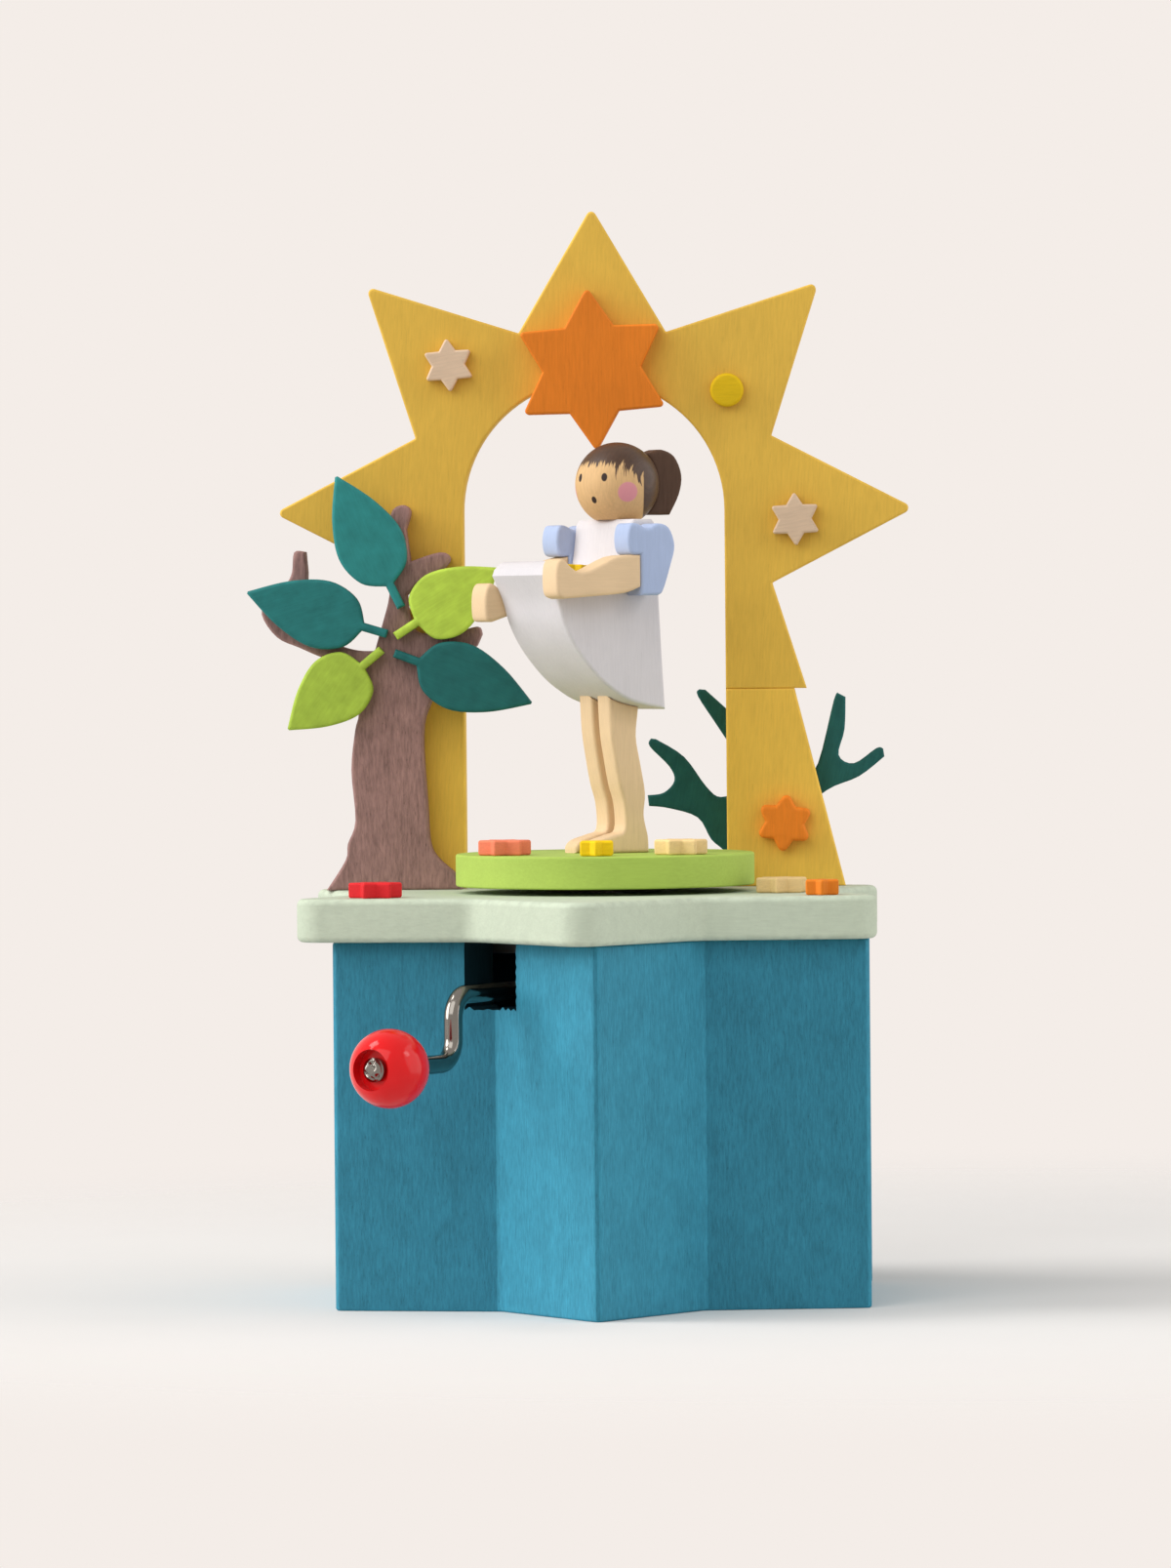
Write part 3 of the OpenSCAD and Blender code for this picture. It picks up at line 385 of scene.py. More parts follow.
def metal(slot, dullness):
    """Bare metal for a slot."""
    name = slot + "_finish"
    if name in bpy.data.materials:
        return bpy.data.materials[name]
    made, tree, shader, place = new_material(name)
    look = add(
        tree,
        "ShaderNodeGroup",
        {"node_tree": metal_group()},
        {"Vector": place, "Color": (*getattr(colours(), slot), 1), "Dullness": dullness},
    ).outputs
    tree.links.new(look["Color"], shader.inputs["Base Color"])
    tree.links.new(look["Roughness"], shader.inputs["Roughness"])
    shader.inputs["Metallic"].default_value = 1
    bump(tree, shader, look["Height"], 0.15, 0.01 * MM)
    return made


def lacquer(slot):
    """Thick glossy lacquer for a slot."""
    made, tree, shader, place = new_material(slot + "_finish")
    ripple = noise(tree, place, 160.0, 3)
    gain = calc(tree, "ADD", calc(tree, "MULTIPLY", ripple, 0.2), 0.9)
    tone = scaled(tree, getattr(colours(), slot)[:], gain)
    tree.links.new(tone, shader.inputs["Base Color"])
    rough = calc(tree, "ADD", calc(tree, "MULTIPLY", ripple, 0.1), 0.06)
    tree.links.new(rough, shader.inputs["Roughness"])
    shader.inputs["Specular IOR Level"].default_value = 0.2
    shader.inputs["Coat Weight"].default_value = 0.15
    shader.inputs["Coat Roughness"].default_value = 0.04
    bump(tree, shader, ripple, 0.1, 0.05 * MM)
    return made


def spot(tree, place, centre, radius, soft, stretch):
    """Mask of a round spot; stretch squeezes the distance per axis."""
    flat = add(
        tree, "ShaderNodeVectorMath", {"operation": "MULTIPLY"}, {0: place, 1: stretch}
    ).outputs[0]
    aim = tuple(c * s for c, s in zip(centre, stretch))
    away = add(tree, "ShaderNodeVectorMath", {"operation": "DISTANCE"}, {0: flat, 1: aim})
    return step(tree, away.outputs["Value"], radius + soft, radius - soft)


def painted_head():
    """Pale wood with painted hair, dot eyes, a small round mouth and rosy cheeks."""
    made, tree, shader, place = new_material("painted_head")
    low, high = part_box("head")
    radius = (high.x - low.x) / 2
    centre = Vector(((low.x + high.x) / 2, (low.y + high.y) / 2, high.z - radius))
    skin, rough, height = grained(tree, place, UP, (*colours().face_wood, 1), 0.4, 0.0)
    local = add(tree, "ShaderNodeVectorMath", {"operation": "SUBTRACT"}, {0: place, 1: centre})
    local = scaled(tree, local.outputs[0], 1 / radius)
    local = add(
        tree,
        "ShaderNodeVectorRotate",
        {"rotation_type": "Z_AXIS"},
        {"Vector": local, "Angle": -FACE_TURN},
    ).outputs[0]
    parts = add(tree, "ShaderNodeSeparateXYZ", None, {0: local}).outputs

    # Hair behind the ears and over the crown, with brush strokes that hang into the face.
    aside = calc(tree, "ABSOLUTE", parts["Y"])
    behind = calc(tree, "MULTIPLY", parts["X"], -0.68)
    behind = calc(tree, "ADD", behind, calc(tree, "MULTIPLY", aside, 0.73))
    lean = calc(tree, "ADD", aside, calc(tree, "MULTIPLY", parts["Z"], 0.12))
    lean = add(tree, "ShaderNodeCombineXYZ", None, {0: lean}).outputs[0]
    stroke = calc(tree, "SUBTRACT", noise(tree, lean, 9.0, 4, 0.7), 0.5)
    bristle = calc(tree, "SUBTRACT", noise(tree, lean, 48.0, 2), 0.5)
    hang = calc(tree, "ADD", calc(tree, "MULTIPLY", step(tree, aside, 0.35, 0.8), 1.7), 0.9)
    fringe = calc(tree, "ADD", parts["Z"], calc(tree, "MULTIPLY", stroke, hang))
    fringe = calc(tree, "ADD", fringe, calc(tree, "MULTIPLY", bristle, 0.35))
    fringe = calc(tree, "ADD", fringe, calc(tree, "MULTIPLY", step(tree, aside, 0.3, 0.85), 0.2))
    hair = calc(tree, "MAXIMUM", step(tree, fringe, 0.46, 0.51), step(tree, behind, 0.575, 0.6))

    def dab(turn, reach, up, size, soft, squeeze=1.0):
        """Mask of a dab of paint, turned in degrees from the middle of the face, in head radii."""
        a = math.radians(turn)
        middle = (reach * math.cos(a), reach * math.sin(a), up)
        return spot(tree, local, middle, size, soft, (1, 1, squeeze))

    face = skin
    rosy = (*colours().cheek_paint, 1)
    for turn in (-55, 55):
        cheek = dab(turn, 0.97, -0.2, 0.24, 0.02)
        face = blend(tree, calc(tree, "MULTIPLY", cheek, 0.85), face, rosy)
    brushed = noise(tree, local, 7.0, 3)
    gain = calc(tree, "ADD", calc(tree, "MULTIPLY", brushed, 0.6), 0.6)
    gain = calc(tree, "ADD", gain, bristle)
    face = blend(tree, hair, face, scaled(tree, colours().hair_wood[:], gain))
    dark = (*colours().eye_paint, 1)
    for turn in (-22, 22):
        eye = dab(turn, 1.0, 0.16, 0.075, 0.01, 0.72)
        face = blend(tree, eye, face, dark)
    mouth = dab(3.5, 0.925, -0.38, 0.07, 0.01, 0.75)
    face = blend(tree, mouth, face, dark)

    tree.links.new(face, shader.inputs["Base Color"])
    gloss = calc(tree, "MULTIPLY", hair, -0.26)
    tree.links.new(calc(tree, "ADD", rough, gloss), shader.inputs["Roughness"])
    shader.inputs["Specular IOR Level"].default_value = 0.3
    ridge = calc(tree, "ADD", calc(tree, "MULTIPLY", bristle, 3.0), 1.5)
    relief = calc(tree, "ADD", height, calc(tree, "MULTIPLY", hair, ridge))
    bump(tree, shader, relief, 0.3, 0.06 * MM)
    return made


# Board building


def broad_axis(node):
    """Normal of the widest flat of a CAD node, the way its board was sawn through."""
    flats = {}
    for face in NODES[node].data.polygons:
        n = face.normal if tuple(face.normal) > (0, 0, 0) else -face.normal
        key = tuple(round(c, 2) for c in n)
        flats[key] = flats.get(key, Vector()) + n * face.area
    return max(flats.values(), key=lambda flat: flat.length).normalized()


def end_loops(node, axis):
    """Closed outlines round the node's flat end towards axis, and how far out that end is."""
    bm = bmesh.new()
    bm.from_mesh(NODES[node].data)
    bmesh.ops.remove_doubles(bm, verts=bm.verts, dist=WELD)
    reach = max(v.co.dot(axis) for v in bm.verts)
    flat = {f for f in bm.faces if all(reach - v.co.dot(axis) < 5 * WELD for v in f.verts)}
    after = {
        corner.vert.index: corner.link_loop_next.vert.index
        for face in flat
        for corner in face.loops
        if sum(other in flat for other in corner.edge.link_faces) == 1
    }
    places = [v.co.copy() for v in bm.verts]
    bm.free()
    loops = []
    while after:
        at, to = after.popitem()
        loop = [at]
        while to != loop[0]:
            loop.append(to)
            to = after.pop(to)
        loops.append([places[i] for i in loop])
    return loops, reach


def plane(axis):
    """Two directions across axis that turn from the first to the second about it."""
    u = axis.orthogonal().normalized()
    return u, axis.cross(u)


def area(loop):
    """Signed area of a flat loop of 2D points."""
    return sum(p.cross(q) for p, q in zip(loop, loop[1:] + loop[:1])) / 2


def inset(loop, depths):
    """The loop moved inwards by each depth, with a point for every point of the loop.

    Edges that close up on the way drop out, so points meet at tight corners instead of crossing.
    """
    count = len(loop)
    way = [(loop[(i + 1) % count] - loop[i]).normalized() for i in range(count)]
    inward = [Vector((-d.y, d.x)) for d in way]
    live = list(range(count))

    def meet(a, b, point, depth):
        turn = way[a].cross(way[b])
        if abs(turn) < 1e-3:
            return point + (inward[a] + inward[b]).normalized() * depth
        start = loop[a] + inward[a] * depth
        across = loop[b] + inward[b] * depth - start
        return start + way[a] * (across.cross(way[b]) / turn)

    rings = []
    for depth in depths:
        while True:
            corners = {}
            for k, edge in enumerate(live):
                corners[edge] = meet(live[k - 1], edge, loop[edge], depth)
            spans = [
                (corners[live[(k + 1) % len(live)]] - corners[edge]).dot(way[edge])
                for k, edge in enumerate(live)
            ]
            worst = min(range(len(live)), key=spans.__getitem__)
            if spans[worst] >= -1e-9 or len(live) < 4:
                break
            live.pop(worst)
        ring, k = [], 0
        for i in range(count):
            while k < len(live) and live[k] < i:
                k += 1
            ring.append(corners[live[k % len(live)]])
        rings.append(ring)
    return rings


def paired(loop, others):
    """Whether one of the other end's loops lies straight across from this one."""
    middle = sum(loop, Vector((0, 0))) / len(loop)
    return any((sum(o, Vector((0, 0))) / len(o) - middle).length < 0.1 * MM for o in others)


def lay(bm, rim, rings, heights, marks, lift):
    """Puts rings of 2D points into the mesh and skins them; returns their points, ring by ring."""
    layers = []
    for ring, height, mark in zip(rings, heights, marks):
        layer = []
        for point in ring:
            vert = bm.verts.new(lift(point, height))
            vert[rim] = mark
            layer.append(vert)
        layers.append(layer)
    for low, high in zip(layers, layers[1:]):
        for i in range(len(low)):
            j = (i + 1) % len(low)
            bm.faces.new((low[i], low[j], high[j], high[i]))
    return layers


def cap(bm, loops, flip):
    """Fills the flat inside the first loop and outside the others."""
    tidy = []
    for loop in loops:
        tidy.append([v for k, v in enumerate(loop) if (v.co - loop[k - 1].co).length > 1e-8])
    verts = [v for loop in tidy for v in loop]
    for tri in tessellate_polygon([[v.co for v in loop] for loop in tidy]):
        a, b, c = (verts[i] for i in tri)
        normal = (b.co - a.co).cross(c.co - a.co)
        if normal.length > 1e-16:
            bm.faces.new((a, b, c) if normal.dot(flip) > 0 else (a, c, b))


def new_object(name, data):
    """New object in the scene."""
    made = bpy.data.objects.new(name, data)
    bpy.context.scene.collection.objects.link(made)
    return made


def mesh_object(bm, name):
    """New object in the scene with the mesh, which is used up."""
    mesh = bpy.data.meshes.new(name)
    bm.to_mesh(mesh)
    bm.free()
    return new_object(name, mesh)


def shade(bm):
    """Smooth shading, with a crease at every sharp edge."""
    for face in bm.faces:
        face.smooth = True
    for edge in bm.edges:
        edge.smooth = edge.calc_face_angle(0) < SHARP


def to_object(bm, name):
    """Object with the mesh welded, smooth, and its normals weighted to the broad faces."""
    bmesh.ops.remove_doubles(bm, verts=bm.verts, dist=1e-7)
    bmesh.ops.dissolve_degenerate(bm, edges=bm.edges, dist=1e-7)
    bmesh.ops.recalc_face_normals(bm, faces=bm.faces)
    shade(bm)
    made = mesh_object(bm, name)
    weigh = made.modifiers.new("broad_faces", "WEIGHTED_NORMAL")
    weigh.keep_sharp = True
    return made


def sawn(node, edge, axis=None, back_edge=None, bore=None):
    """Board of a CAD node with its outline and thickness, and its edges rounded.

    bore lists (radius, height) stations of a round hollow along the axis, front to back; without
    it the node's own through holes are kept.
    """
    axis = axis or broad_axis(node)
    u, v = plane(axis)
    front, far = end_loops(node, axis)
    back, near = end_loops(node, -axis)
    near = -near

    def flat(loop):
        return [Vector((p.dot(u), p.dot(v))) for p in loop]

    def lift(point, height):
        return u * point.x + v * point.y + axis * height

    front = [flat(loop) for loop in front]
    back = [flat(loop) for loop in back]
    bm = bmesh.new()
    rim = bm.verts.layers.float.new("rim")
    back_edge = edge if back_edge is None else back_edge
    turns = [k / ROUND_STEPS * math.pi / 2 for k in range(ROUND_STEPS + 1)]
    heights = [near + back_edge * (1 - math.sin(t)) for t in reversed(turns)]
    heights += [far - edge * (1 - math.sin(t)) for t in turns]
    marks = [math.sin(2 * t) for t in reversed(turns)] + [math.sin(2 * t) for t in turns]
    outers = [loop for loop in front if area(loop) > 0]
    holes = [] if bore else [loop for loop in front if area(loop) < 0 and paired(loop, back)]
    for k, outer in enumerate(outers):
        rear = inset(outer, [back_edge * (1 - math.cos(t)) for t in turns])
        fore = inset(outer, [edge * (1 - math.cos(t)) for t in turns])
        layers = lay(bm, rim, rear[::-1] + fore, heights, marks, lift)
        ends = [[layers[0]], [layers[-1]]]
        for hole in holes if k == 0 else []:
            walls = lay(bm, rim, [hole, hole], [near, far], [0, 0], lift)
            ends[0].append(walls[0])
            ends[1].append(walls[1])
        if bore:
            spokes = [i * math.tau / BORE_STEPS for i in range(BORE_STEPS)]
            circle = [Vector((math.cos(t), math.sin(t))) for t in spokes]
            rounds = [[p * r for p in circle] for r, _ in bore]
            walls = lay(bm, rim, rounds, [h for _, h in bore], [0] * len(bore), lift)
            ends[1].append(walls[0])
            ends[0].append(walls[-1])
        cap(bm, ends[0], -axis)
        cap(bm, ends[1], axis)
    return to_object(bm, node + "_wood")


def seat(piece, node, material):
    """Puts a piece in a CAD node's place: its body and its material."""
    piece.data.materials.clear()
    piece.data.materials.append(material)
    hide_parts(node)
    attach(piece, BODY[node])


def keep(node, material):
    """Gives a CAD node that stays its material."""
    NODES[node].data.materials.clear()
    NODES[node].data.materials.append(material)


# Operators, one per piece or group of like pieces


class MUSICBOX_OT_box(bpy.types.Operator):
    """Star-shaped box with its chipped crank notch, and the plate that closes it below"""

    bl_idname = "music_box.box"
    bl_label = "Box"

    # Tone of the blue stain's darker copy: painted shade on the front and back flats.
    shaded_flank_tone = 0.8
    # Tone of the blue stain on the notch's cut faces, near black: painted shade inside the notch.
    notch_shade_tone = 0.1
    notch_window = 5 * MM
    notch_start = 20 * MM
    cut_start, cut_end = 24 * MM, 60 * MM
    cut_over = 4 * MM
    teeth = 14
    side_steps = 5
    side_tear = 0.3
    standing = -0.5

    def execute(self, context):
        low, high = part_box("star_box")
        floor_low, floor_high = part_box("bottom_plate")
        recess = (floor_high.x - floor_low.x) / 2
        hollow = self.hollow_radius(high.z)
        bore = [
            (hollow, high.z),
            (hollow, floor_high.z),
            (recess, floor_high.z),
            (recess, low.z),
        ]
        box = sawn("star_box", sizes().box_edge, -UP, bore=[(r, -h) for r, h in reversed(bore)])
        walls = self.cut_notch(box, high.z)
        seat(box, "star_box", self.stain("finish", 1.0))
        # The notch's cut faces get the blue stain near black: painted shade.
        box.data.materials.append(wood("blue_wood", UP, 0.8, 0.0, kind="notch", tone=self.notch_shade_tone))
        for index in walls:
            box.data.polygons[index].material_index = 1
        # The flats facing straight ahead or back get a darker copy of the blue stain: painted shade.
        box.data.materials.append(self.stain("deep", self.shaded_flank_tone))
        for face in box.data.polygons:
            if abs(face.normal.y) > 0.95 and face.material_index == 0:
                face.material_index = 2
        bare = wood("raw_wood", (1, 0, 0), 0.5)
        seat(sawn("bottom_plate", sizes().floor_edge), "bottom_plate", bare)
        keep("bottom_screws", metal("steel", 0.3))
        return {"FINISHED"}

    def stain(self, kind, tone):
        """Blue stain; a copy with a lower tone is painted shade on the flats that face straight ahead
        or back.
        """
        return wood("blue_wood", UP, 0.9, 0.35, 0.35, kind, tone, mottle=0.35, patches=150, fibre=0.5)

    def hollow_radius(self, height):
        """Radius of the box's hollow at its upper end."""
        points = [v.co for v in NODES["star_box"].data.vertices if abs(v.co.z - height) < WELD]
        return min(Vector((p.x, p.y)).length for p in points)

    def cut_notch(self, box, top):
        """Cuts the crank notch through the wall, with torn fibres along its edges.

        Returns the faces of the cut, which get painted shade: a near-black copy of the blue stain.
        """
        out = Vector((math.cos(CRANK_TURN), math.sin(CRANK_TURN), 0))
        across = Vector((-out.y, out.x, 0))
        walls = [
            v.co
            for v in NODES["star_box"].data.vertices
            if abs(v.co.dot(across)) < self.notch_window
            and v.co.dot(out) > self.notch_start
            and v.co.z > top / 2
        ]
        half = max(abs(p.dot(across)) for p in walls)
        floor = min(p.z for p in walls)
        draw = random.Random(11)
        chip = sizes().notch_chip
        teeth, rise = self.teeth, top - floor
        outline = [(half, top + self.cut_over)]
        for k in range(1, teeth):
            torn = draw.random() if k % 2 else self.standing
            outline.append((half + self.side_tear * chip * torn, floor + rise * (1 - k / teeth)))
        for k in range(teeth + 1):
            torn = draw.random() if k % 2 else 0.0
            outline.append((half - 2 * half * k / teeth, floor + chip * torn))
        for k in range(1, self.side_steps):
            outline.append((-half, floor + rise * k / self.side_steps))
        outline.append((-half, top + self.cut_over))
        bm = bmesh.new()
        rows = [
            [bm.verts.new(out * reach + across * a + UP * z) for a, z in outline]
            for reach in (self.cut_start, self.cut_end)
        ]
        for k in range(len(outline)):
            j = (k + 1) % len(outline)
            bm.faces.new((rows[0][k], rows[0][j], rows[1][j], rows[1][k]))
        cap(bm, [rows[0]], -out)
        cap(bm, [rows[1]], out)
        bmesh.ops.recalc_face_normals(bm, faces=bm.faces)
        cutter = mesh_object(bm, "notch_cutter")
        cut = box.modifiers.new("notch", "BOOLEAN")
        cut.object = cutter
        cut.solver = "EXACT"
        weigh = box.modifiers[0]
        weigh.show_viewport = False
        shape = box.evaluated_get(bpy.context.evaluated_depsgraph_get())
        bm = bmesh.new()
        bm.from_mesh(bpy.data.meshes.new_from_object(shape))
        shade(bm)
        cuts = []
        for face in bm.faces:
            middle = face.calc_center_median()
            inside = abs(middle.dot(across)) < half + chip and middle.dot(out) > self.cut_start
            if inside and middle.z > floor - chip and abs(face.normal.dot(out)) < 0.3:
                cuts.append(face.index)
        bm.to_mesh(box.data)
        bm.free()
        box.modifiers.remove(cut)
        weigh.show_viewport = True
        bpy.data.objects.remove(cutter)
        return cuts


class MUSICBOX_OT_plate(bpy.types.Operator):
    """Mint top plate with its rounded rims, and the stars glued on it"""

    bl_idname = "music_box.plate"
    bl_label = "Top plate"

    def execute(self, context):
        edge = sizes().plate_edge
        seat(sawn("top_plate", edge, UP), "top_plate", self.paint())
        stars = {
            "plate_red_star": wood("red_wood", (1, 1, 0)),
            "plate_cream_star": wood("straw_wood", (1, 0, 0.2)),
            "plate_orange_star": wood("orange_wood", UP),
        }
        for node, material in stars.items():
            seat(sawn(node, sizes().star_edge), node, material)
        return {"FINISHED"}

    def paint(self):
        """Mint paint that stands up in grains on the sawn flanks."""
        return wood("mint_wood", (1, 0.1, 0), 0.2, 0.3, 0.35, stipple=3.0, mottle=0.14, patches=600)


class MUSICBOX_OT_arch(bpy.types.Operator):
    """Yellow star arch on its two legs, with the stars and the button on its front"""

    bl_idname = "music_box.arch"
    bl_label = "Arch"

    def execute(self, context):
        grain = (0.05, 0, 1)
        seat(sawn("arch_top", sizes().board_edge), "arch_top", wood("yellow_wood", grain, 0.35, 0.5))
        # The legs and the leg star get lighter copies of their stains: painted light against the shade
        # that falls on the legs.
        for node in ("arch_leg_left", "arch_leg_right"):
            lit_leg_copy = wood("yellow_wood", grain, 0.35, 0.5, kind="leg", tone=1.12)
            seat(sawn(node, sizes().board_edge), node, lit_leg_copy)
        keep("arch_dowels", wood("raw_wood", (1, 0, 0), 0.5))
        orange = wood("orange_wood", UP)
        seat(sawn("arch_orange_star", sizes().star_edge), "arch_orange_star", orange)
        lit_leg_copy = wood("orange_wood", UP, kind="bright", tone=1.12)
        seat(sawn("leg_orange_star", 1.5 * sizes().star_edge), "leg_orange_star", lit_leg_copy)
        cream = wood("cream_wood", (1, 0, 0.2))
        seat(sawn("arch_cream_stars", sizes().star_edge), "arch_cream_stars", cream)
        seat(sawn("arch_button", 1.5 * sizes().star_edge), "arch_button", wood("gold_wood", (1, 0, 0)))
        return {"FINISHED"}


class MUSICBOX_OT_tree(bpy.types.Operator):
    """Brown tree with its five leaves, and the dark bush behind the arch"""

    bl_idname = "music_box.tree"
    bl_label = "Tree and bush"

    def execute(self, context):
        brown = wood("brown_wood", UP, 1.4, 0.4, mottle=0.5, patches=260, fibre=0.5)
        seat(sawn("tree_trunk", sizes().tree_edge), "tree_trunk", brown)
        # The top leaf gets a lighter copy of the teal stain as painted light, and the lower leaves
        # darker copies of their stains as painted shade.
        leaves = {
            "leaf_top": ("teal_wood", (-0.4, 0, 1), "upper", 1.3),
            "leaf_left": ("teal_wood", (1, 0, 0.3), "finish", 1.0),
            "leaf_lower_right": ("teal_wood", (1, 0, -0.4), "lower", 0.75),
            "leaf_right": ("lime_wood", (1, 0, 0.6), "finish", 1.12),
            "leaf_lower_left": ("lime_wood", (0.7, 0, 1), "lower", 0.88),
        }
        for node, (slot, grain, kind, tone) in leaves.items():
            stain = wood(slot, grain, 0.3, 0.4, kind=kind, tone=tone, mottle=0.55, patches=420)
            seat(sawn(node, sizes().leaf_edge), node, stain)
        green = wood("dark_green_wood", (0.2, 0, 1), 0.5, 0.4, mottle=0.5, patches=400)
        seat(sawn("bush", 0.8 * sizes().tree_edge), "bush", green)
        return {"FINISHED"}


class MUSICBOX_OT_turntable(bpy.types.Operator):
    """Light green turntable on its dark collar, with its three stars"""

    bl_idname = "music_box.turntable"
    bl_label = "Turntable"

    def execute(self, context):
        edge = sizes().disc_edge
        green = wood("green_wood", (1, 0.3, 0), 0.25, 0.4, tone=0.92)
        seat(sawn("turntable", edge, UP), "turntable", green)
        keep("collar", wood("dark_collar", (1, 0, 0), 0.5))
        stars = {
            "disc_pink_star": wood("pink_wood", (1, 0, 0)),
            "disc_yellow_star": wood("gold_wood", (1, 0, 0), kind="bright", tone=1.3),
            "disc_cream_star": wood("straw_wood", (1, 0, 0.2)),
        }
        for node, material in stars.items():
            seat(sawn(node, sizes().star_edge), node, material)
        return {"FINISHED"}


class MUSICBOX_OT_doll(bpy.types.Operator):
    """Doll sawn from boards, with a painted ball head"""

    bl_idname = "music_box.doll"
    bl_label = "Doll"

    def execute(self, context):
        pale = wood("skin_wood", UP, 0.25, 0.2, kind="leg", tone=0.92)
        for node in ("doll_leg_left", "doll_leg_right"):
            seat(sawn(node, sizes().limb_edge), node, pale)
        ahead = (math.cos(DOLL_TURN), math.sin(DOLL_TURN), 0)
        pale = wood("skin_wood", ahead, 0.2, 0.2, tone=0.93)
        for node in ("arm_left", "arm_right"):
            seat(sawn(node, sizes().limb_edge), node, pale)
        white = wood("white_wood", UP, 0.15, 0.3, tone=0.9)
        seat(sawn("dress", sizes().dress_edge), "dress", white)
        blue = wood("pale_blue_wood", UP, 0.15, 0.3)
        for node in ("sleeve_left", "sleeve_right"):
            seat(sawn(node, sizes().limb_edge), node, blue)
        seat(sawn("ponytail", sizes().limb_edge), "ponytail", wood("hair_wood", UP, 0.5, 0.3))
        seat(sawn("lap_star", 0.6 * sizes().star_edge), "lap_star", wood("gold_wood", (1, 0, 0)))
        keep("head", painted_head())
        keep("neck_dowel", wood("raw_wood", (1, 0, 0), 0.5))
        keep("foot_pins", metal("steel", 0.3))
        return {"FINISHED"}


class MUSICBOX_OT_crank(bpy.types.Operator):
    """Bent bright wire with its peened end, and the lacquered knob that turns on it"""

    bl_idname = "music_box.crank"
    bl_label = "Crank"

    end_share = 0.88
    end_half = 0.4 * MM
    dome = 1.1 * MM
    dome_steps = 12
    dent_count = 9
    dent_spread = 0.03
    turns = 40

    def execute(self, context):
        keep("crank_wire", metal("bright_wire", 0.14))
        seat(self.peened_end(), "knob_washer", metal("bright_wire", 0.14))
        keep("knob", lacquer("red_gloss"))
        return {"FINISHED"}

    def peened_end(self):
        """Washer with the wire's end hammered over it into a lumpy dome."""
        out = Vector((math.cos(CRANK_TURN), math.sin(CRANK_TURN), 0))
        u, v = plane(out)
        low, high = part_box("knob_washer")
        radius = self.end_share * (high.z - low.z) / 2
        centre = (low + high) / 2
        half, dome, turns = self.end_half, self.dome, self.turns
        draw = random.Random(5)
        dents = []
        for _ in range(self.dent_count):
            turn = draw.uniform(0, math.tau)
            away = draw.uniform(0.2, 0.75)
            dents.append((away * math.cos(turn), away * math.sin(turn), draw.uniform(0.3, 0.55)))
        stations = [(1.0, -half), (1.0, half)]
        for k in range(1, self.dome_steps):
            stations.append((0.97 - 0.055 * k, half + dome * math.sin(0.09 * k * math.pi / 2)))
        bm = bmesh.new()
        rings = []
        for share, height in stations:
            ring = []
            for i in range(turns):
                a = i * math.tau / turns
                x, y = math.cos(a), math.sin(a)
                sunk = 0.0
                for dent_x, dent_y, depth in dents:
                    apart = (share * x - dent_x) ** 2 + (share * y - dent_y) ** 2
                    sunk += depth * math.exp(-apart / self.dent_spread)
                lower = dome * sunk if height > half else 0.0
                aside = (u * x + v * y) * radius * share
                ring.append(bm.verts.new(centre + aside + out * (height - lower)))
            rings.append(ring)
        for inner, outer in zip(rings[1:], rings):
            for i in range(turns):
                j = (i + 1) % turns
                bm.faces.new((outer[i], outer[j], inner[j], inner[i]))
        bm.faces.new(rings[-1])
        bm.faces.new(rings[0][::-1])
        return to_object(bm, "peened_end")


class MUSICBOX_OT_movement(bpy.types.Operator):
    """Bedplate, comb, barrel, gears and their screws inside the box"""

    bl_idname = "music_box.movement"
    bl_label = "Movement"

    def execute(self, context):
        keep("bedplate", metal("casting", 0.5))
        for node in ("bed_screws", "comb", "comb_screws", "spindle", "worm", "arbor"):
            keep(node, metal("steel", 0.3))
        for node in ("spindle_bush", "crown_wheel", "pinion", "barrel", "worm_wheel"):
            keep(node, metal("brass", 0.28))
        return {"FINISHED"}


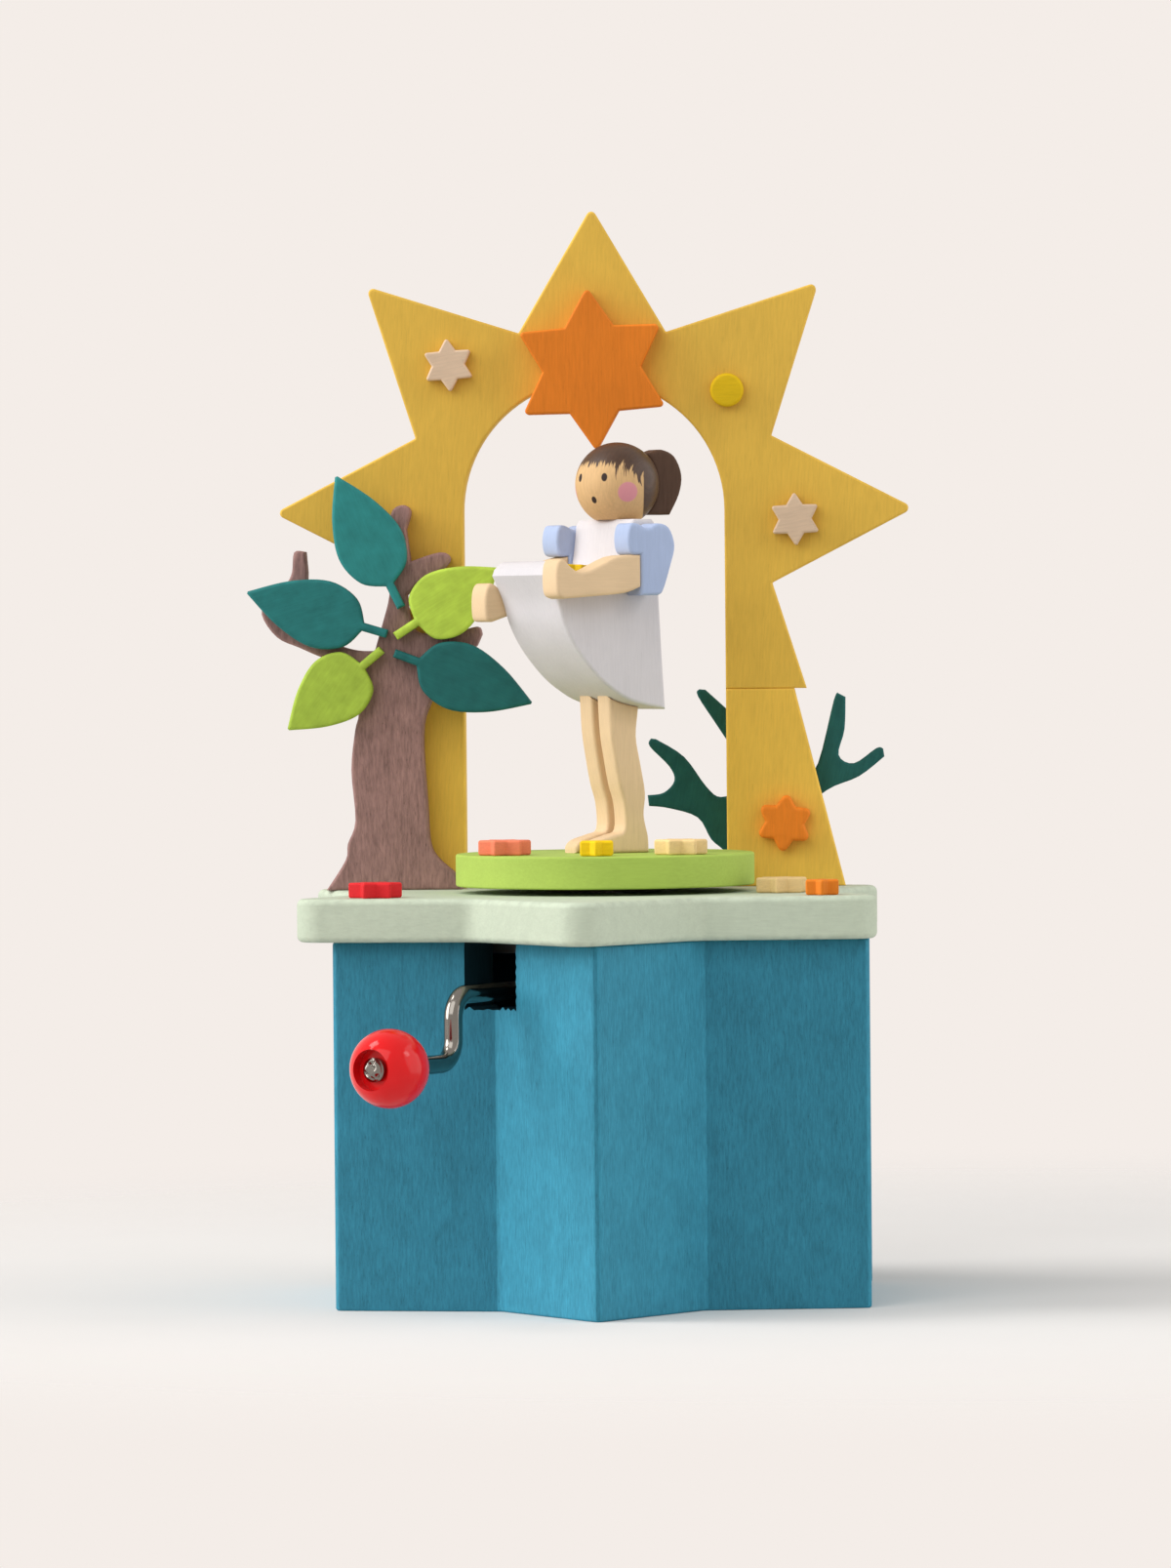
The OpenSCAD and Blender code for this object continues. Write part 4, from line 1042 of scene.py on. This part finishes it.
class MUSICBOX_OT_stage(bpy.types.Operator):
    """Pale floor that fades into the backdrop, soft studio light, and the camera"""

    bl_idname = "music_box.stage"
    bl_label = "Stage"

    backdrop = tint(244, 237, 232)
    floor_tone = tint(236, 233, 230)
    floor_middle = (0.05, 0.06, 0)
    floor_seen, floor_gone = 0.1, 0.32
    ambient = 0.42
    camera_distance = 1.3
    camera_height = 0.108
    camera_turn = math.radians(2)
    camera_roll = math.radians(-0.5)
    aim_height = 0.0842
    aim_left = 0.0031
    focal_length = 182

    def execute(self, context):
        self.floor()
        self.world(context.scene)
        self.lamp("side", (-0.93, -0.1, 0.35), 2.0, 40)
        self.lamp("fill", (0.95, 0.03, 0.3), 1.15, 70)
        self.softbox("key", (-0.3, -0.58, 0.5), 2.1, 0.6)
        self.softbox("upper", (-0.42, -0.02, 0.66), 1.0, 0.22)
        self.softbox("right", (0.5, -0.26, 0.5), 0.3, 0.16)
        self.camera(context.scene)
        return {"FINISHED"}

    def floor(self):
        """Round floor under the box, clear towards its rim."""
        bm = bmesh.new()
        bmesh.ops.create_circle(bm, cap_ends=True, radius=1.0, segments=96)
        floor = mesh_object(bm, "floor")
        made, tree, shader, place = new_material("pale_floor")
        away = add(
            tree, "ShaderNodeVectorMath", {"operation": "DISTANCE"}, {0: place, 1: self.floor_middle}
        )
        speck = noise(tree, place, 40.0, 3)
        gain = calc(tree, "ADD", calc(tree, "MULTIPLY", speck, 0.02), 0.99)
        tree.links.new(scaled(tree, self.floor_tone, gain), shader.inputs["Base Color"])
        shader.inputs["Roughness"].default_value = 0.8
        shader.inputs["Specular IOR Level"].default_value = 0.1
        clear = step(tree, away.outputs["Value"], self.floor_gone, self.floor_seen)
        tree.links.new(clear, shader.inputs["Alpha"])
        floor.data.materials.append(made)

    def world(self, scene):
        """Even light all round, and a pale warm backdrop where it is seen."""
        world = bpy.data.worlds.new("studio")
        world.use_nodes = True
        tree = world.node_tree
        tree.nodes.clear()
        light = add(
            tree, "ShaderNodeBackground", None, {"Color": (1, 0.99, 0.98, 1), "Strength": self.ambient}
        )
        seen = add(
            tree, "ShaderNodeBackground", None, {"Color": (*self.backdrop, 1), "Strength": 1.0}
        )
        path = tree.nodes.new("ShaderNodeLightPath").outputs
        shown = calc(tree, "MAXIMUM", path["Is Camera Ray"], path["Is Glossy Ray"])
        shown = calc(tree, "MAXIMUM", shown, path["Is Transmission Ray"])
        mixed = add(
            tree,
            "ShaderNodeMixShader",
            None,
            {0: shown, 1: light.outputs[0], 2: seen.outputs[0]},
        )
        end = tree.nodes.new("ShaderNodeOutputWorld")
        tree.links.new(mixed.outputs[0], end.inputs["Surface"])
        scene.world = world
        scene.view_settings.view_transform = "Standard"

    def lamp(self, name, towards, strength, spread):
        """Soft far light from a direction; spread is its width in degrees."""
        data = bpy.data.lights.new(name, "SUN")
        data.energy = strength
        data.angle = math.radians(spread)
        lamp = new_object(name, data)
        lamp.rotation_mode = "QUATERNION"
        lamp.rotation_quaternion = Vector(towards).to_track_quat("Z", "Y")
        lamp.location = towards

    def softbox(self, name, place, watts, width):
        """Square lamp close by, aimed at the middle of the object."""
        data = bpy.data.lights.new(name, "AREA")
        data.energy = watts
        data.size = width
        lamp = new_object(name, data)
        lamp.location = place
        lamp.rotation_mode = "QUATERNION"
        lamp.rotation_quaternion = (Vector(place) - UP * self.aim_height).to_track_quat("Z", "Y")

    def camera(self, scene):
        """Camera where the photograph was taken from."""
        data = bpy.data.cameras.new("camera")
        data.lens = self.focal_length
        data.sensor_width = 36
        data.clip_start = 0.05
        turn = self.camera_turn
        right = Vector((math.cos(turn), math.sin(turn), 0))
        back = Vector((math.sin(turn), -math.cos(turn), 0))
        camera = new_object("camera", data)
        camera.location = back * self.camera_distance + UP * self.camera_height
        aim = UP * self.aim_height - right * self.aim_left
        camera.rotation_mode = "QUATERNION"
        look = (aim - camera.location).to_track_quat("-Z", "Y")
        camera.rotation_quaternion = look @ Quaternion((0, 0, 1), self.camera_roll)
        scene.camera = camera


OPERATORS = (
    MUSICBOX_OT_box,
    MUSICBOX_OT_plate,
    MUSICBOX_OT_arch,
    MUSICBOX_OT_tree,
    MUSICBOX_OT_turntable,
    MUSICBOX_OT_doll,
    MUSICBOX_OT_crank,
    MUSICBOX_OT_movement,
    MUSICBOX_OT_stage,
)


class MUSICBOX_PT_panel(bpy.types.Panel):
    """Sidebar panel with the music box's pieces, sizes and colours"""

    bl_idname = "MUSICBOX_PT_panel"
    bl_label = "Music box"
    bl_space_type = "VIEW_3D"
    bl_region_type = "UI"
    bl_category = "Music box"

    def draw(self, context):
        for operator in OPERATORS:
            self.layout.operator(operator.bl_idname)
        for group in (sizes(), colours()):
            box = self.layout.box()
            for name in group.__annotations__:
                box.prop(group, name)


CLASSES = (MusicBoxSizes, MusicBoxColours, *OPERATORS, MUSICBOX_PT_panel)


def register():
    for cls in CLASSES:
        bpy.utils.register_class(cls)
    bpy.types.Scene.music_box_sizes = bpy.props.PointerProperty(type=MusicBoxSizes)
    bpy.types.Scene.music_box_colours = bpy.props.PointerProperty(type=MusicBoxColours)


def unregister():
    del bpy.types.Scene.music_box_colours
    del bpy.types.Scene.music_box_sizes
    for cls in reversed(CLASSES):
        bpy.utils.unregister_class(cls)


def main():
    """Builds every piece and the stage."""
    register()
    bpy.ops.music_box.box()
    bpy.ops.music_box.plate()
    bpy.ops.music_box.arch()
    bpy.ops.music_box.tree()
    bpy.ops.music_box.turntable()
    bpy.ops.music_box.doll()
    bpy.ops.music_box.crank()
    bpy.ops.music_box.movement()
    bpy.ops.music_box.stage()


if __name__ == "__main__":
    main()
